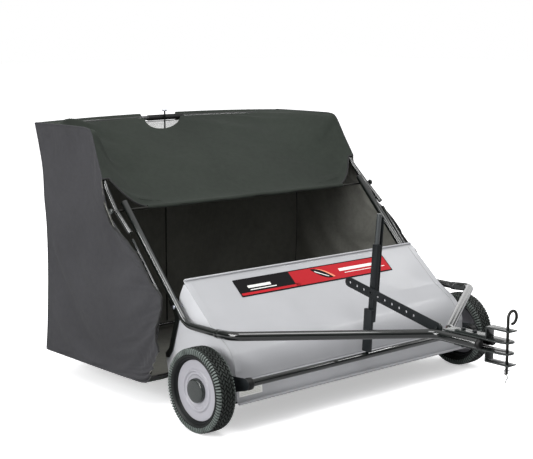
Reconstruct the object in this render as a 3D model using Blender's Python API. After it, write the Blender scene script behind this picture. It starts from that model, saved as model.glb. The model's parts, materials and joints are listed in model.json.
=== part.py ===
"""Tow-behind lawn sweeper, 50-inch class: housing with gear-driven brush, two wheels, drawbar with
hitch, height lever and tipping hopper bag.

Metres, +Z up, hitch towards -Y (front), hopper towards +Y (rear). The layout is measured from the
ground under the axle; the assembly then moves the origin to the ground under the middle of the
overall outline. In object names "left" is the -X side and "right" the +X side.
"""
import bpy
import bmesh
from math import sin, cos, tan, pi, radians, atan2
from mathutils import Vector, Matrix

for old in list(bpy.data.objects):
    bpy.data.objects.remove(old, do_unlink=True)

SIDES = ((-1, "left"), (1, "right"))
GAP = 0.0003                      # clearance between touching pieces

# Shared dimensions. Names ending in _YZ are (y, z) places.
WHEEL_R, WHEEL_X = 0.1525, 0.693
AXLE_YZ = (0.0, WHEEL_R)
BRUSH_YZ = (0.065, 0.165)
HALF_W, SHEET = 0.6095, 0.002     # housing half-width and sheet thickness
PIVOT_YZ = (0.533, 0.724)         # hopper pivot rod
ARM_X, ARM_R = 0.632, 0.0135      # side arm tubes
BAR_R = 0.0165                    # drawbar tubes
HITCH_TUBE_X, HITCH_TUBE_Z = 0.035, 0.340
TUBE_YZ, TUBE_R = (-0.146, 0.187), 0.013    # front cross tube
HITCH_FRONT_Y, BAG_REAR_Y = -0.812, 1.128   # ends of the overall outline

# ---------------------------------------------------------------- finishes
DISPLAY_GAMMA = 2.2
# finish: (display colour, roughness, metallic)
FINISHES = {
    "grey_sheet": ((0.78, 0.785, 0.80), 0.35, 0.0),
    "black_gloss": ((0.12, 0.13, 0.12), 0.22, 0.0),
    "black_powder": ((0.16, 0.18, 0.19), 0.5, 0.0),
    "zinc": ((0.72, 0.74, 0.70), 0.35, 0.9),
    "dark_steel": ((0.22, 0.20, 0.17), 0.4, 0.8),
    "rubber": ((0.14, 0.145, 0.145), 0.8, 0.0),
    "disc_grey": ((0.69, 0.69, 0.71), 0.45, 0.0),
    "cap_black": ((0.30, 0.32, 0.31), 0.35, 0.0),
    "gear": ((0.25, 0.25, 0.26), 0.5, 0.2),
    "bristle": ((0.10, 0.10, 0.11), 0.9, 0.0),
    "bag_fabric": ((0.33, 0.33, 0.345), 0.9, 0.0),
}


def material(name, finish):
    colour, roughness, metallic = FINISHES[finish]
    mat = bpy.data.materials.new(name)
    mat.use_nodes = True
    inputs = mat.node_tree.nodes["Principled BSDF"].inputs
    inputs["Base Color"].default_value = (*[c ** DISPLAY_GAMMA for c in colour], 1.0)
    inputs["Roughness"].default_value = roughness
    inputs["Metallic"].default_value = metallic
    return mat


# ---------------------------------------------------------------- modelling helpers
def link_mesh(name, bm, mesh_name):
    """Turn a bmesh into an object in the scene, with its normals outward."""
    bmesh.ops.recalc_face_normals(bm, faces=bm.faces[:])
    mesh = bpy.data.meshes.new(mesh_name)
    bm.to_mesh(mesh)
    bm.free()
    ob = bpy.data.objects.new(name, mesh)
    bpy.context.scene.collection.objects.link(ob)
    return ob


def make(name, bm, finish, smooth=True):
    ob = link_mesh(name, bm, name)
    if smooth:
        ob.data.shade_smooth()
        ob.data.set_sharp_from_angle(angle=radians(35))
    ob.data.materials.append(material(name + "_" + finish, finish))
    return ob


def loft(rings):
    """Capped solid through rings of points, all with the same count."""
    bm = bmesh.new()
    rings = [[bm.verts.new(p) for p in ring] for ring in rings]
    count = len(rings[0])
    for a, b in zip(rings, rings[1:]):
        for k in range(count):
            after = (k + 1) % count
            bm.faces.new((a[k], a[after], b[after], b[k]))
    bm.faces.new(rings[0][::-1])
    bm.faces.new(rings[-1])
    return bm


def circle(centre, side, up, radius, seg):
    turns = [2 * pi * k / seg for k in range(seg)]
    return [centre + (side * cos(t) + up * sin(t)) * radius for t in turns]


def round_path(points, radius, steps):
    """Replace each corner of a polyline by an arc; nearly straight corners stay points."""
    points = [Vector(p) for p in points]
    out = [points[0]]
    for before, corner, after in zip(points, points[1:], points[2:]):
        to_before, to_after = before - corner, after - corner
        u, v = to_before.normalized(), to_after.normalized()
        angle = u.angle(v)
        if angle > radians(177):
            out.append(corner)
            continue
        trim = min(radius / tan(angle / 2), 0.45 * to_before.length, 0.45 * to_after.length)
        fitted = trim * tan(angle / 2)
        centre = corner + (u + v).normalized() * (fitted / sin(angle / 2))
        start, end = corner + u * trim - centre, corner + v * trim - centre
        axis = start.cross(end).normalized()
        for k in range(steps + 1):
            out.append(centre + Matrix.Rotation(start.angle(end) * k / steps, 3, axis) @ start)
    out.append(points[-1])
    return out


def path_frames(path):
    """One (point, side, up) frame for each path point, carried without twist."""
    ends = zip(path[:1] + path[:-1], path[1:] + path[-1:])
    tangents = [(b - a).normalized() for a, b in ends]
    first = tangents[0]
    ref = Vector((1, 0, 0)) if abs(first.x) < 0.7 else Vector((0, 0, 1))
    side = (ref - first * ref.dot(first)).normalized()
    frames = []
    for point, tangent in zip(path, tangents):
        side = (side - tangent * side.dot(tangent)).normalized()
        frames.append((point, side, tangent.cross(side)))
    return frames


def tube(name, points, radius, finish, seg=12, bend=0.0, steps=5):
    """Round bar along a polyline, its corners rounded to the bend radius."""
    path = round_path(points, bend, steps) if bend else [Vector(p) for p in points]
    return make(name, loft([circle(*frame, radius, seg) for frame in path_frames(path)]), finish)


def prism(name, outline, axis, low, high, finish, smooth=True):
    """Extrude a 2-D outline along axis 0=X (outline in YZ), 1=Y (XZ) or 2=Z (XY)."""
    rings = [[(*p[:axis], h, *p[axis:]) for p in map(tuple, outline)] for h in (low, high)]
    return make(name, loft(rings), finish, smooth)


def side_prism(name, outline, sign, near, far, finish, smooth=True):
    """YZ outline extruded between two distances from the middle, on the side given by sign."""
    low, high = sorted((sign * near, sign * far))
    return prism(name, outline, 0, low, high, finish, smooth)


def lathe(name, profile, centre, finish, seg=24, axis=0, flip=1.0):
    """Turn a closed profile of (along, radius) points round an axis through centre."""
    bm = bmesh.new()
    columns = []
    for k in range(seg):
        angle = 2 * pi * k / seg
        column = []
        for along, radius in profile:
            point = [0.0, 0.0, 0.0]
            point[axis] = along * flip
            point[(axis + 1) % 3] = radius * cos(angle)
            point[(axis + 2) % 3] = radius * sin(angle)
            column.append(Vector(point) + Vector(centre))
        columns.append(column)
    # points on the axis are shared by all columns
    poles = {j: bm.verts.new(columns[0][j]) for j, (_, r) in enumerate(profile) if r == 0.0}
    grid = [[poles.get(j) or bm.verts.new(p) for j, p in enumerate(col)] for col in columns]
    count = len(profile)
    for k in range(seg):
        here, beside = grid[k], grid[(k + 1) % seg]
        for j in range(count):
            after = (j + 1) % count
            corners = []
            for vert in (here[j], here[after], beside[after], beside[j]):
                if vert not in corners:
                    corners.append(vert)
            if len(corners) > 2:
                bm.faces.new(corners)
    return make(name, bm, finish)


def bar_box(name, x_range, half, start, end, finish, chamfer=0.002):
    """Rectangular bar between two (y, z) points, with chamfered long edges."""
    x0, x1 = x_range
    start, end = Vector((0, *start)), Vector((0, *end))
    normal = (end - start).normalized().cross(Vector((1, 0, 0)))
    c = chamfer
    section = [(x0, -half + c), (x0 + c, -half), (x1 - c, -half), (x1, -half + c),
               (x1, half - c), (x1 - c, half), (x0 + c, half), (x0, half - c)]
    rings = [[p + Vector((x, 0, 0)) + normal * h for x, h in section] for p in (start, end)]
    return make(name, loft(rings), finish)


def boolean(target, cutter, name, operation="DIFFERENCE"):
    """Apply a helper object, hidden from renders, to the target."""
    cutter.hide_render = True
    cutter.display_type = "WIRE"
    mod = target.modifiers.new(name, "BOOLEAN")
    mod.operation = operation
    mod.solver = "EXACT"
    mod.object = cutter


def drill(ob, start, end, radius, seg=12):
    """Cut a round hole through ob, from start to end."""
    start, end = Vector(start), Vector(end)
    along = (end - start).normalized()
    ref = Vector((0, 0, 1)) if abs(along.z) < 0.7 else Vector((1, 0, 0))
    side = along.cross(ref).normalized()
    ring = circle(start, side, along.cross(side), radius, seg)
    bm = loft([ring, [p + (end - start) for p in ring]])
    boolean(ob, link_mesh("cutter_" + ob.name, bm, "hole"), "hole")


def drill_x(ob, x_start, x_end, place_yz, radius, seg=12, sign=1):
    """Hole along X, on the side given by sign."""
    drill(ob, (sign * x_start, *place_yz), (sign * x_end, *place_yz), radius, seg)


def drill_z(ob, y, z_start, z_end, radius, seg=12):
    """Upright hole on the middle plane."""
    drill(ob, (0, y, z_start), (0, y, z_end), radius, seg)


def sheet_outline(line, thickness):
    """Closed outline of a folded sheet: the line, then its offset to the right side."""
    points = [Vector(p) for p in line]
    offset = []
    for i, p in enumerate(points):
        runs = []
        if i:
            runs.append((p - points[i - 1]).normalized())
        if i < len(points) - 1:
            runs.append((points[i + 1] - p).normalized())
        normals = [Vector((d.y, -d.x)) for d in runs]
        normal = sum(normals, Vector((0, 0))).normalized()
        stretch = 1.0 / max(0.5, normal.dot(normals[0]))
        offset.append(p + normal * thickness * stretch)
    return [tuple(p) for p in points] + [tuple(p) for p in reversed(offset)]


def holed_bar(name, half, back, cuts, holes, front, place, heights, finish,
              hole_steps=8, round_back=False):
    """Flat bar with a rounded front end, laid out in (across, along), along falling to the front.

    cuts are the cross lines between cells. Each hole (along, radius) splits its own cell into a
    back and a front piece. place(across, along, height) gives the position in space.
    """
    def half_circle(radius, along, bulge, steps):
        angles = [pi * k / steps for k in range(steps + 1)]
        return [(radius * cos(t), along + bulge * radius * sin(t)) for t in angles]

    end_steps = 6
    nose = half_circle(half, front + half, -1, end_steps)
    faces = []
    starts = [back] + list(cuts)
    for cell_back, cell_front in zip(starts, starts[1:] + [None]):
        last = cell_front is None
        inside = [h for h in holes if h[0] < cell_back and (last or h[0] > cell_front)]
        lead = nose if last else [(half, cell_front), (-half, cell_front)]
        start = [(-half, cell_back), (half, cell_back)]
        if round_back and cell_back == back:
            start = half_circle(half, cell_back, 1, end_steps)[::-1]
        if not inside:
            faces.append(start + lead)
            continue
        along, radius = inside[0]
        rear_rim = half_circle(radius, along, 1, hole_steps)
        fore_rim = half_circle(radius, along, -1, hole_steps)
        right = [nose[0] if last else (half, along)]
        left = [nose[-1] if last else (-half, along)]
        faces.append(start + right + rear_rim + left)
        faces.append(right + (nose[1:-1] if last else lead) + left + fore_rim[::-1])

    bm = bmesh.new()
    verts = {}

    def vert(point, height):
        key = (*point, height)
        if key not in verts:
            verts[key] = bm.verts.new(place(*key))
        return verts[key]

    low, high = heights
    edges = {}
    for face in faces:
        face = [(round(across, 6), round(along, 6)) for across, along in face]
        for a, b in zip(face, face[1:] + face[:1]):
            edges.setdefault(frozenset((a, b)), []).append((a, b))
        bm.faces.new([vert(p, low) for p in face])
        bm.faces.new([vert(p, high) for p in reversed(face)])
    # an edge used once is on the outline or on a hole's rim, and gets a wall
    for uses in edges.values():
        if len(uses) == 1:
            a, b = uses[0]
            bm.faces.new((vert(b, low), vert(a, low), vert(a, high), vert(b, high)))
    return make(name, bm, finish)


# ---------------------------------------------------------------- housing
# (y, z) of the cover's outer skin, rear top edge -> front -> lower lip
COVER = [(0.203, 0.500), (0.195, 0.487), (0.044, 0.356), (0.004, 0.333), (-0.037, 0.306),
         (-0.060, 0.284), (-0.074, 0.262), (-0.083, 0.238), (-0.088, 0.208), (-0.098, 0.112),
         (-0.104, 0.102), (-0.112, 0.104)]
# (y, z) of the side plate's free edge, front bottom -> rear -> top
PLATE_EDGE = [(0.240, 0.102), (0.300, 0.130), (0.309, 0.162), (0.315, 0.183), (0.297, 0.223),
              (0.267, 0.303), (0.224, 0.450), (0.205, 0.484)]
TIE_BAR_YZ, TIE_BAR_R = (0.272, 0.130), 0.009


def housing_cover():
    prism("housing_cover", sheet_outline(COVER, -SHEET), 0, -HALF_W, HALF_W, "grey_sheet")


def side_plate(sign, side):
    """End plate, fitted just inside the cover's sheet."""
    line = COVER[1:10]
    under_cover = sheet_outline(line, -(SHEET + GAP))[len(line):][::-1]
    plate = side_prism("side_plate_" + side, under_cover + PLATE_EDGE, sign, HALF_W - SHEET,
                       HALF_W, "grey_sheet")
    drill_x(plate, 0.58, 0.64, BRUSH_YZ, 0.0148, 24, sign)


def brush_bearing(sign, side):
    """Flanged bush: flange inside the plate, boss outside it for the wheel arm."""
    flange_x0, flange_x1, boss_x = 0.6020, HALF_W - SHEET - GAP, 0.6200
    bore, flange_r, boss_r = 0.00545, 0.0220, 0.0140
    lathe("brush_bearing_" + side,
          [(flange_x0, bore), (flange_x0, flange_r), (flange_x1, flange_r), (flange_x1, boss_r),
           (boss_x, boss_r), (boss_x, bore)], (0, *BRUSH_YZ), "gear", flip=sign)


def rear_tie_bar():
    tube("rear_tie_bar", [(-HALF_W + SHEET + GAP, *TIE_BAR_YZ), (HALF_W - SHEET - GAP, *TIE_BAR_YZ)],
         TIE_BAR_R, "black_gloss", seg=8)


# ---------------------------------------------------------------- arms and drawbar
ARM_BOLT_YZ, ARM_BOLT_R, ARM_BOLT_HEAD_R = (0.214, 0.405), 0.004, 0.0075
# (y, z) outline of the flat strut
STRUT = [(0.226, 0.372), (0.228, 0.350), (0.268, 0.226), (0.290, 0.196), (0.310, 0.194),
         (0.312, 0.210), (0.290, 0.232), (0.252, 0.352), (0.262, 0.380), (0.288, 0.404),
         (0.290, 0.418), (0.276, 0.414), (0.240, 0.384)]


def side_arm(sign, side):
    x = sign * ARM_X
    arm = tube("side_arm_" + side, [(x, 0.540, 0.7545), (x, 0.160, 0.347), (x, -0.0280, 0.347)],
               ARM_R, "black_gloss", bend=0.085)
    drill_x(arm, 0.60, 0.66, PIVOT_YZ, 0.0053, sign=sign)
    drill_x(arm, 0.60, 0.66, ARM_BOLT_YZ, 0.0044, sign=sign)


def arm_bolt(sign, side):
    inner, seat = HALF_W + GAP, ARM_X + ARM_R
    shank_r, head_r = ARM_BOLT_R, ARM_BOLT_HEAD_R
    lathe("arm_bolt_" + side,
          [(inner, 0.0), (inner, shank_r), (seat + GAP, shank_r), (seat + GAP, head_r),
           (seat + 0.005, head_r), (seat + 0.006, head_r * 0.7), (seat + 0.006, 0.0)],
          (0, *ARM_BOLT_YZ), "zinc", seg=12, flip=sign)


def lower_strut(sign, side):
    """Flat strut from the arm down to the housing's rear corner."""
    side_prism("lower_strut_" + side, STRUT, sign, 0.6110, 0.6150, "black_gloss")


def drawbar(sign, side):
    """Tube from the side arm in to the hitch, and the plug in its front end."""
    x, hitch_x = sign * ARM_X, sign * HITCH_TUBE_X
    tube("drawbar_tube_" + side,
         [(x, -0.0300, 0.3475), (x, -0.105, 0.353), (hitch_x, -0.500, HITCH_TUBE_Z),
          (hitch_x, -0.690, HITCH_TUBE_Z)], BAR_R, "black_gloss", bend=0.055)
    lathe("drawbar_plug_" + side,
          [(-0.6903, 0.0), (-0.6903, 0.0163), (-0.700, 0.0163), (-0.705, 0.013), (-0.705, 0.0)],
          (hitch_x, 0, HITCH_TUBE_Z), "rubber", seg=12, axis=1)


# ---------------------------------------------------------------- hitch
UPPER_PLATE_Z = HITCH_TUBE_Z + BAR_R + 0.0005     # underside of the upper plate
LOWER_PLATE_Z = HITCH_TUBE_Z - BAR_R - 0.0005     # top of the lower plate
PLATE_T, PLATE_HALF, BRACKET_HALF = 0.005, 0.030, 0.021
PIN_Y, PIN_R, PIN_HOLE_R = -0.789, 0.0050, 0.0056
PIN_LOOP_R, PIN_LOOP_Z = 0.0225, 0.441
CLIP_Z = 0.262
HITCH_BOLT_YS, HITCH_BOLT_HOLE_R = (-0.598, -0.648), 0.0046
PLATE_HOLES = [(y, HITCH_BOLT_HOLE_R) for y in HITCH_BOLT_YS] + [(PIN_Y, PIN_HOLE_R)]
UPPER_FOOT_Z = UPPER_PLATE_Z + PLATE_T + GAP      # bracket faces lying on the plates
LOWER_FOOT_Z = LOWER_PLATE_Z - PLATE_T - GAP
STRAP_BOLT_YZ = (-0.487, 0.355)


def hitch_plate(name, back, cuts, heights):
    return holed_bar(name, PLATE_HALF, back, cuts, PLATE_HOLES, HITCH_FRONT_Y,
                     lambda x, y, z: (x, y, z), heights, "zinc")


def hitch_plates():
    """The lower plate carries an upright ear for the strap's bolt."""
    hitch_plate("hitch_plate_upper", -0.530, (-0.623, -0.712, -0.774),
                (UPPER_PLATE_Z, UPPER_PLATE_Z + PLATE_T))
    lower = hitch_plate("hitch_plate_lower", -0.470, (-0.575, -0.623, -0.712, -0.774),
                        (LOWER_PLATE_Z - PLATE_T, LOWER_PLATE_Z))
    foot, bolt_z = LOWER_PLATE_Z - 0.003, STRAP_BOLT_YZ[1]
    ear = prism("cutter_ear",
                [(-0.505, foot), (-0.472, foot), (-0.472, bolt_z + 0.010),
                 (-0.478, bolt_z + 0.016), (-0.496, bolt_z + 0.016), (-0.505, bolt_z + 0.008)],
                0, -0.0067, -0.0022, "zinc")
    boolean(lower, ear, "ear", "UNION")
    drill_x(lower, -0.03, 0.03, STRAP_BOLT_YZ, 0.0048)


def hitch_bracket(name, foot_z, tongue_z, thickness, pin_drill, bolt_drill):
    """Z-shaped bracket: foot on the plate, riser, then an outer tongue for the pin.

    thickness is signed, away from the tubes; the drills are (z start, z end).
    """
    rear_y, riser_y = -0.575, -0.710
    foot_out, tongue_out = foot_z + thickness, tongue_z + thickness
    riser_front = riser_y - abs(thickness)
    outline = [(rear_y, foot_z), (riser_front, foot_z), (riser_front, tongue_z),
               (HITCH_FRONT_Y, tongue_z), (HITCH_FRONT_Y, tongue_out), (riser_y, tongue_out),
               (riser_y, foot_out), (rear_y, foot_out)]
    bracket = prism(name, outline, 0, -BRACKET_HALF, BRACKET_HALF, "zinc")
    drill_z(bracket, PIN_Y, *pin_drill, PIN_HOLE_R, 16)
    for y in HITCH_BOLT_YS:
        drill_z(bracket, y, *bolt_drill, HITCH_BOLT_HOLE_R)


def hitch_brackets():
    through = (0.28, 0.40)
    hitch_bracket("hitch_bracket_upper", UPPER_FOOT_Z, 0.397, PLATE_T, (0.38, 0.42), through)
    hitch_bracket("hitch_bracket_lower", LOWER_FOOT_Z, 0.284, -PLATE_T, (0.27, 0.30), through)


def hitch_bolts():
    top, bottom = UPPER_FOOT_Z + PLATE_T, LOWER_FOOT_Z - PLATE_T
    profile = [(bottom - 0.008, 0.0), (bottom - 0.008, 0.0065), (bottom - GAP, 0.0065),
               (bottom - GAP, 0.0040), (top + GAP, 0.0040), (top + GAP, 0.0085),
               (top + 0.006, 0.0085), (top + 0.0072, 0.006), (top + 0.0072, 0.0)]
    for i, y in enumerate(HITCH_BOLT_YS, 1):
        lathe("hitch_bolt_%d" % i, profile, (0, y, 0), "black_powder", seg=12, axis=2)


def hitch_pin():
    """Pin with a loop handle, cross-drilled for its clip."""
    path = [(0.0, PIN_Y, 0.247), (0.0, PIN_Y, 0.418)]
    for k in range(13):
        angle = radians(180 - 23 * k)
        path.append((PIN_LOOP_R + PIN_LOOP_R * cos(angle), PIN_Y,
                     PIN_LOOP_Z + PIN_LOOP_R * sin(angle)))
    pin = tube("hitch_pin", path, PIN_R, "dark_steel", seg=10)
    drill(pin, (0, PIN_Y - 0.02, CLIP_Z), (0, PIN_Y + 0.02, CLIP_Z), 0.0018, 8)


def hitch_clip():
    # (y from the pin's axis, z)
    path = [(-0.016, CLIP_Z), (0.009, CLIP_Z), (0.013, 0.250), (0.0105, 0.232), (0.003, 0.219)]
    tube("hitch_clip", [(0.0, PIN_Y + y, z) for y, z in path], 0.0012, "zinc", seg=6,
         bend=0.004, steps=3)


# ---------------------------------------------------------------- pivot rod
PIVOT_ROD_END, PIVOT_ROD_R = 0.6930, 0.0048


def pivot_rod():
    tube("pivot_rod", [(-PIVOT_ROD_END, *PIVOT_YZ), (PIVOT_ROD_END, *PIVOT_YZ)], PIVOT_ROD_R,
         "zinc", seg=10)


def pivot_knob(sign, side):
    lathe("pivot_knob_" + side,
          [(0.6933, 0.0), (0.6933, 0.0115), (0.6960, 0.0125), (0.7010, 0.0110),
           (0.7030, 0.0070), (0.7030, 0.0)], (0, *PIVOT_YZ), "black_gloss", seg=12, flip=sign)


# ---------------------------------------------------------------- axle frame
FRONT_TUBE_END = 0.6060


def front_tube():
    tube("front_tube", [(-FRONT_TUBE_END, *TUBE_YZ), (FRONT_TUBE_END, *TUBE_YZ)], TUBE_R,
         "black_gloss")


def arc(centre, radius, start, end, steps=6):
    """Arc points from start to end, in degrees."""
    angles = [radians(start + (end - start) * k / steps) for k in range(steps + 1)]
    return [(centre[0] + radius * cos(t), centre[1] + radius * sin(t)) for t in angles]


def wheel_arm(sign, side):
    """Plate that joins the brush bearing, the front tube and the stub axle."""
    outline = arc(BRUSH_YZ, 0.026, -70, 85) + arc(TUBE_YZ, 0.022, 95, 262)
    outline += arc(AXLE_YZ, 0.030, 235, 300)
    arm = side_prism("wheel_arm_" + side, outline, sign, 0.6130, 0.6180, "black_powder")
    drill_x(arm, 0.58, 0.64, BRUSH_YZ, 0.0144, 24, sign)
    drill_x(arm, 0.60, 0.64, AXLE_YZ, 0.0083, 16, sign)


def stub_axle(sign, side):
    lathe("stub_axle_" + side,
          [(0.6106, 0.0), (0.6106, 0.0120), (0.6127, 0.0120), (0.6127, 0.0080),
           (0.7010, 0.0080), (0.7010, 0.0)], (0, *AXLE_YZ), "zinc", seg=16, flip=sign)


def tube_clamp(sign, side):
    """Cup over the end of the front tube."""
    lathe("tube_clamp_" + side,
          [(0.5850, 0.0134), (0.5850, 0.0170), (0.5900, 0.0215), (0.6040, 0.0225),
           (0.6095, 0.0200), (0.6127, 0.0150), (0.6127, 0.0), (0.6064, 0.0), (0.6064, 0.0134)],
          (0, *TUBE_YZ), "rubber", seg=16, flip=sign)


# ---------------------------------------------------------------- lever, trigger, strap
STRAP_SLOPE, STRAP_X, STRAP_HALF = 0.223, (-0.0125, -0.0075), 0.0190
STRAP_BACK_Y = -0.045
FIRST_HOLE_Y, HOLE_PITCH, HOLE_COUNT, LATCH_HOLE = -0.052, 0.0359, 10, 3
STRAP_HOLE_R, STRAP_BOLT_HOLE_R = 0.0052, 0.0046


def strap_z(y):
    """Height of the strap's centre line."""
    return STRAP_BOLT_YZ[1] + (y - STRAP_BOLT_YZ[0]) * STRAP_SLOPE


LATCH_Y = FIRST_HOLE_Y - LATCH_HOLE * HOLE_PITCH
LATCH_YZ = (LATCH_Y, strap_z(LATCH_Y))
TRIGGER_X, TRIGGER_PIVOT_YZ = (0.0200, 0.0260), (-0.1725, 0.6000)
GRIP_X = 0.0036


def height_lever():
    """Bracket on the front tube, lever and its grip."""
    tube_y, tube_z = TUBE_YZ
    bar_box("lever_bracket", (-0.0200, -0.0070), 0.0200, (tube_y, tube_z + TUBE_R + 0.0020),
            (-0.1550, 0.366), "black_powder", chamfer=0.001)
    lever = bar_box("height_lever", (-0.0065, 0.0135), 0.0135, (-0.1515, 0.315),
                    (-0.1735, 0.612), "black_powder")
    drill_x(lever, -0.02, 0.04, LATCH_YZ, 0.0048)
    grip = [(-0.1738, 0.6125), (-0.1740, 0.616), (-0.1840, 0.722), (-0.1843, 0.728)]
    tube("lever_grip", [(GRIP_X, y, z) for y, z in grip], 0.0095, "black_gloss")


def squeeze_trigger():
    """Rocker: squeezing its top towards the grip pulls the latch pin out of the strap."""
    rocker = bar_box("squeeze_trigger", TRIGGER_X, 0.0085, (-0.1590, 0.412), (-0.1815, 0.714),
                     "black_powder", chamfer=0.001)
    drill_x(rocker, 0.01, 0.04, LATCH_YZ, 0.0058)


def latch_pin():
    lathe("latch_pin",
          [(-0.0070, 0.0), (-0.0062, 0.0036), (-0.0045, 0.0042), (0.0264, 0.0042),
           (0.0264, 0.0080), (0.0300, 0.0080), (0.0300, 0.0)], (0, *LATCH_YZ), "zinc", seg=12)


def height_strap():
    """Sloping strap with a row of latch holes, and its bolt hole at the front end."""
    start = Vector((STRAP_BACK_Y, strap_z(STRAP_BACK_Y)))
    run = Vector(STRAP_BOLT_YZ) - start
    forward = run.normalized()
    across = Vector((-run.y, run.x)).normalized()
    hole_ys = [FIRST_HOLE_Y - k * HOLE_PITCH for k in range(HOLE_COUNT)]
    alongs = [-(Vector((y, strap_z(y))) - start).length for y in hole_ys]
    cuts = [(a + b) / 2 for a, b in zip(alongs, alongs[1:])]
    cuts += [alongs[-1] - 0.030, -run.length + 0.030]
    holes = [(a, STRAP_HOLE_R) for a in alongs] + [(-run.length, STRAP_BOLT_HOLE_R)]

    def on_strap(width, along, x):
        point = start - forward * along + across * width
        return (x, point.x, point.y)

    holed_bar("height_strap", STRAP_HALF, 0.0, cuts, holes, -run.length - STRAP_HALF, on_strap,
              STRAP_X, "black_powder", hole_steps=5, round_back=True)


def strap_bolt():
    lathe("strap_bolt",
          [(-0.0190, 0.0), (-0.0190, 0.0070), (-0.0130, 0.0070), (-0.0130, 0.0041),
           (-0.0015, 0.0041), (-0.0015, 0.0070), (0.0045, 0.0070), (0.0045, 0.0)],
          (0, *STRAP_BOLT_YZ), "black_powder", seg=12)


# ---------------------------------------------------------------- wheels and gears
GEAR_MODULE, GEAR_TEETH, PINION_TEETH = 0.002, 56, 10
GEAR_X0, GEAR_X1 = 0.624, 0.636
# direction from the axle to the brush, where the gears mesh
MESH_ANGLE = atan2(BRUSH_YZ[1] - AXLE_YZ[1], BRUSH_YZ[0] - AXLE_YZ[0])
# (along the axle from the wheel's middle, radius), outer bead -> tread
HALF_TIRE = [(0.0300, 0.1154), (0.0360, 0.1230), (0.0380, 0.1340), (0.0365, 0.1450),
             (0.0315, 0.1505), (0.0150, 0.1522)]
# same columns, rim -> outer face -> bore -> inner face -> rim
DISC = [(0.0300, 0.1150), (0.0290, 0.1110), (0.0160, 0.1040), (0.0150, 0.0880), (0.0210, 0.0820),
        (0.0210, 0.0760), (0.0130, 0.0700), (0.0120, 0.0480), (0.0120, 0.0086),
        (-0.0562, 0.0086), (-0.0562, 0.0220), (0.0040, 0.0260), (0.0060, 0.0960),
        (-0.0220, 0.1060), (-0.0300, 0.1120), (-0.0300, 0.1150)]
HUB_CAP = [(0.0123, 0.0), (0.0123, 0.0440), (0.0230, 0.0430), (0.0300, 0.0370),
           (0.0330, 0.0250), (0.0335, 0.0)]


def wheel(sign, side):
    centre = (sign * WHEEL_X, *AXLE_YZ)
    tire = HALF_TIRE + [(0.0, WHEEL_R)] + [(-along, r) for along, r in reversed(HALF_TIRE)]
    lathe("tire_" + side, tire, centre, "rubber", seg=32, flip=sign)
    lathe("wheel_disc_" + side, DISC, centre, "disc_grey", seg=32, flip=sign)
    lathe("hub_cap_" + side, HUB_CAP, centre, "cap_black", flip=sign)


def gear_outline(teeth, centre_yz, phase):
    """Straight-flanked teeth with generous backlash; tooth 0 is centred on phase."""
    pitch_r = GEAR_MODULE * teeth / 2
    tip_r, root_r = pitch_r + 0.80 * GEAR_MODULE, pitch_r - 1.15 * GEAR_MODULE
    half = 0.40 * pi * GEAR_MODULE / 2      # half tooth thickness, 0.40 of the pitch
    root_half, tip_half = half * 1.45, half * 0.55
    corners = ((root_r, root_half), (tip_r, tip_half), (tip_r, -tip_half), (root_r, -root_half))
    out = []
    for k in range(teeth):
        middle = phase + 2 * pi * k / teeth
        for radius, width in corners:
            angle = middle - width / radius
            out.append((centre_yz[0] + radius * cos(angle), centre_yz[1] + radius * sin(angle)))
    return out


def gear(name, sign, teeth, centre_yz, phase, bore):
    ob = side_prism(name, gear_outline(teeth, centre_yz, phase), sign, GEAR_X0, GEAR_X1, "gear",
                    smooth=False)
    drill_x(ob, 0.60, 0.66, centre_yz, bore, 16, sign)


def gear_pair(sign, side):
    gear("drive_gear_" + side, sign, GEAR_TEETH, AXLE_YZ, MESH_ANGLE, 0.0086)
    # the pinion is turned by half a tooth pitch to mesh
    gear("brush_pinion_" + side, sign, PINION_TEETH, BRUSH_YZ,
         MESH_ANGLE + pi + pi / PINION_TEETH, 0.0055)


# ---------------------------------------------------------------- brush
BRUSH_R, STRIP_COUNT, STRIP_END = 0.140, 3, 0.588
SHAFT_END, SHAFT_SHOULDER, JOURNAL_R, SHAFT_R = 0.6400, 0.5990, 0.0050, 0.0160
# (radial, across) section of one bristle strip with its foot
STRIP = [(0.0166, -0.011), (0.0300, -0.011), (0.0310, -0.007), (BRUSH_R - 0.004, -0.012),
         (BRUSH_R, 0.0), (BRUSH_R - 0.004, 0.012), (0.0310, 0.007), (0.0300, 0.011),
         (0.0166, 0.011)]


def brush_shaft():
    half = [(-SHAFT_END, 0.0), (-SHAFT_END, JOURNAL_R), (-SHAFT_SHOULDER, JOURNAL_R),
            (-SHAFT_SHOULDER, SHAFT_R)]
    lathe("brush_shaft", half + [(-x, r) for x, r in reversed(half)], (0, *BRUSH_YZ),
          "dark_steel", seg=16)


def brush_strips():
    centre = Vector(BRUSH_YZ)
    for k in range(STRIP_COUNT):
        angle = radians(90 + 360 / STRIP_COUNT * k)
        radial, across = Vector((cos(angle), sin(angle))), Vector((-sin(angle), cos(angle)))
        prism("brush_strip_%d" % (k + 1), [centre + radial * r + across * h for r, h in STRIP],
              0, -STRIP_END, STRIP_END, "bristle")


# ---------------------------------------------------------------- hopper frame
HOOP_X, HOOP_R = 0.6720, 0.0095
# (x, y, z) of the +X half of the upper hoop, bottom -> rear top
HOOP = [(HOOP_X, 0.443, 0.6500), (HOOP_X, *PIVOT_YZ), (0.6640, 0.602, 0.793),
        (0.6580, 0.638, 0.840), (0.6490, 0.684, 0.914), (0.6420, 0.7310, 0.9920),
        (0.6410, 0.7600, 1.0050), (0.6410, 1.1000, 1.0050)]
# (y, z) of either side of the lower frame, top -> floor front -> floor rear
LOWER_SIDE = [(0.4310, 0.6290), (0.2620, 0.4400), (0.2850, 0.3000), (0.3400, 0.1130),
              (1.0150, 0.1110)]


def mirrored(half):
    """Path along the -X copy of half, then back along half itself."""
    return [(-x, y, z) for x, y, z in half] + half[::-1]


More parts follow.
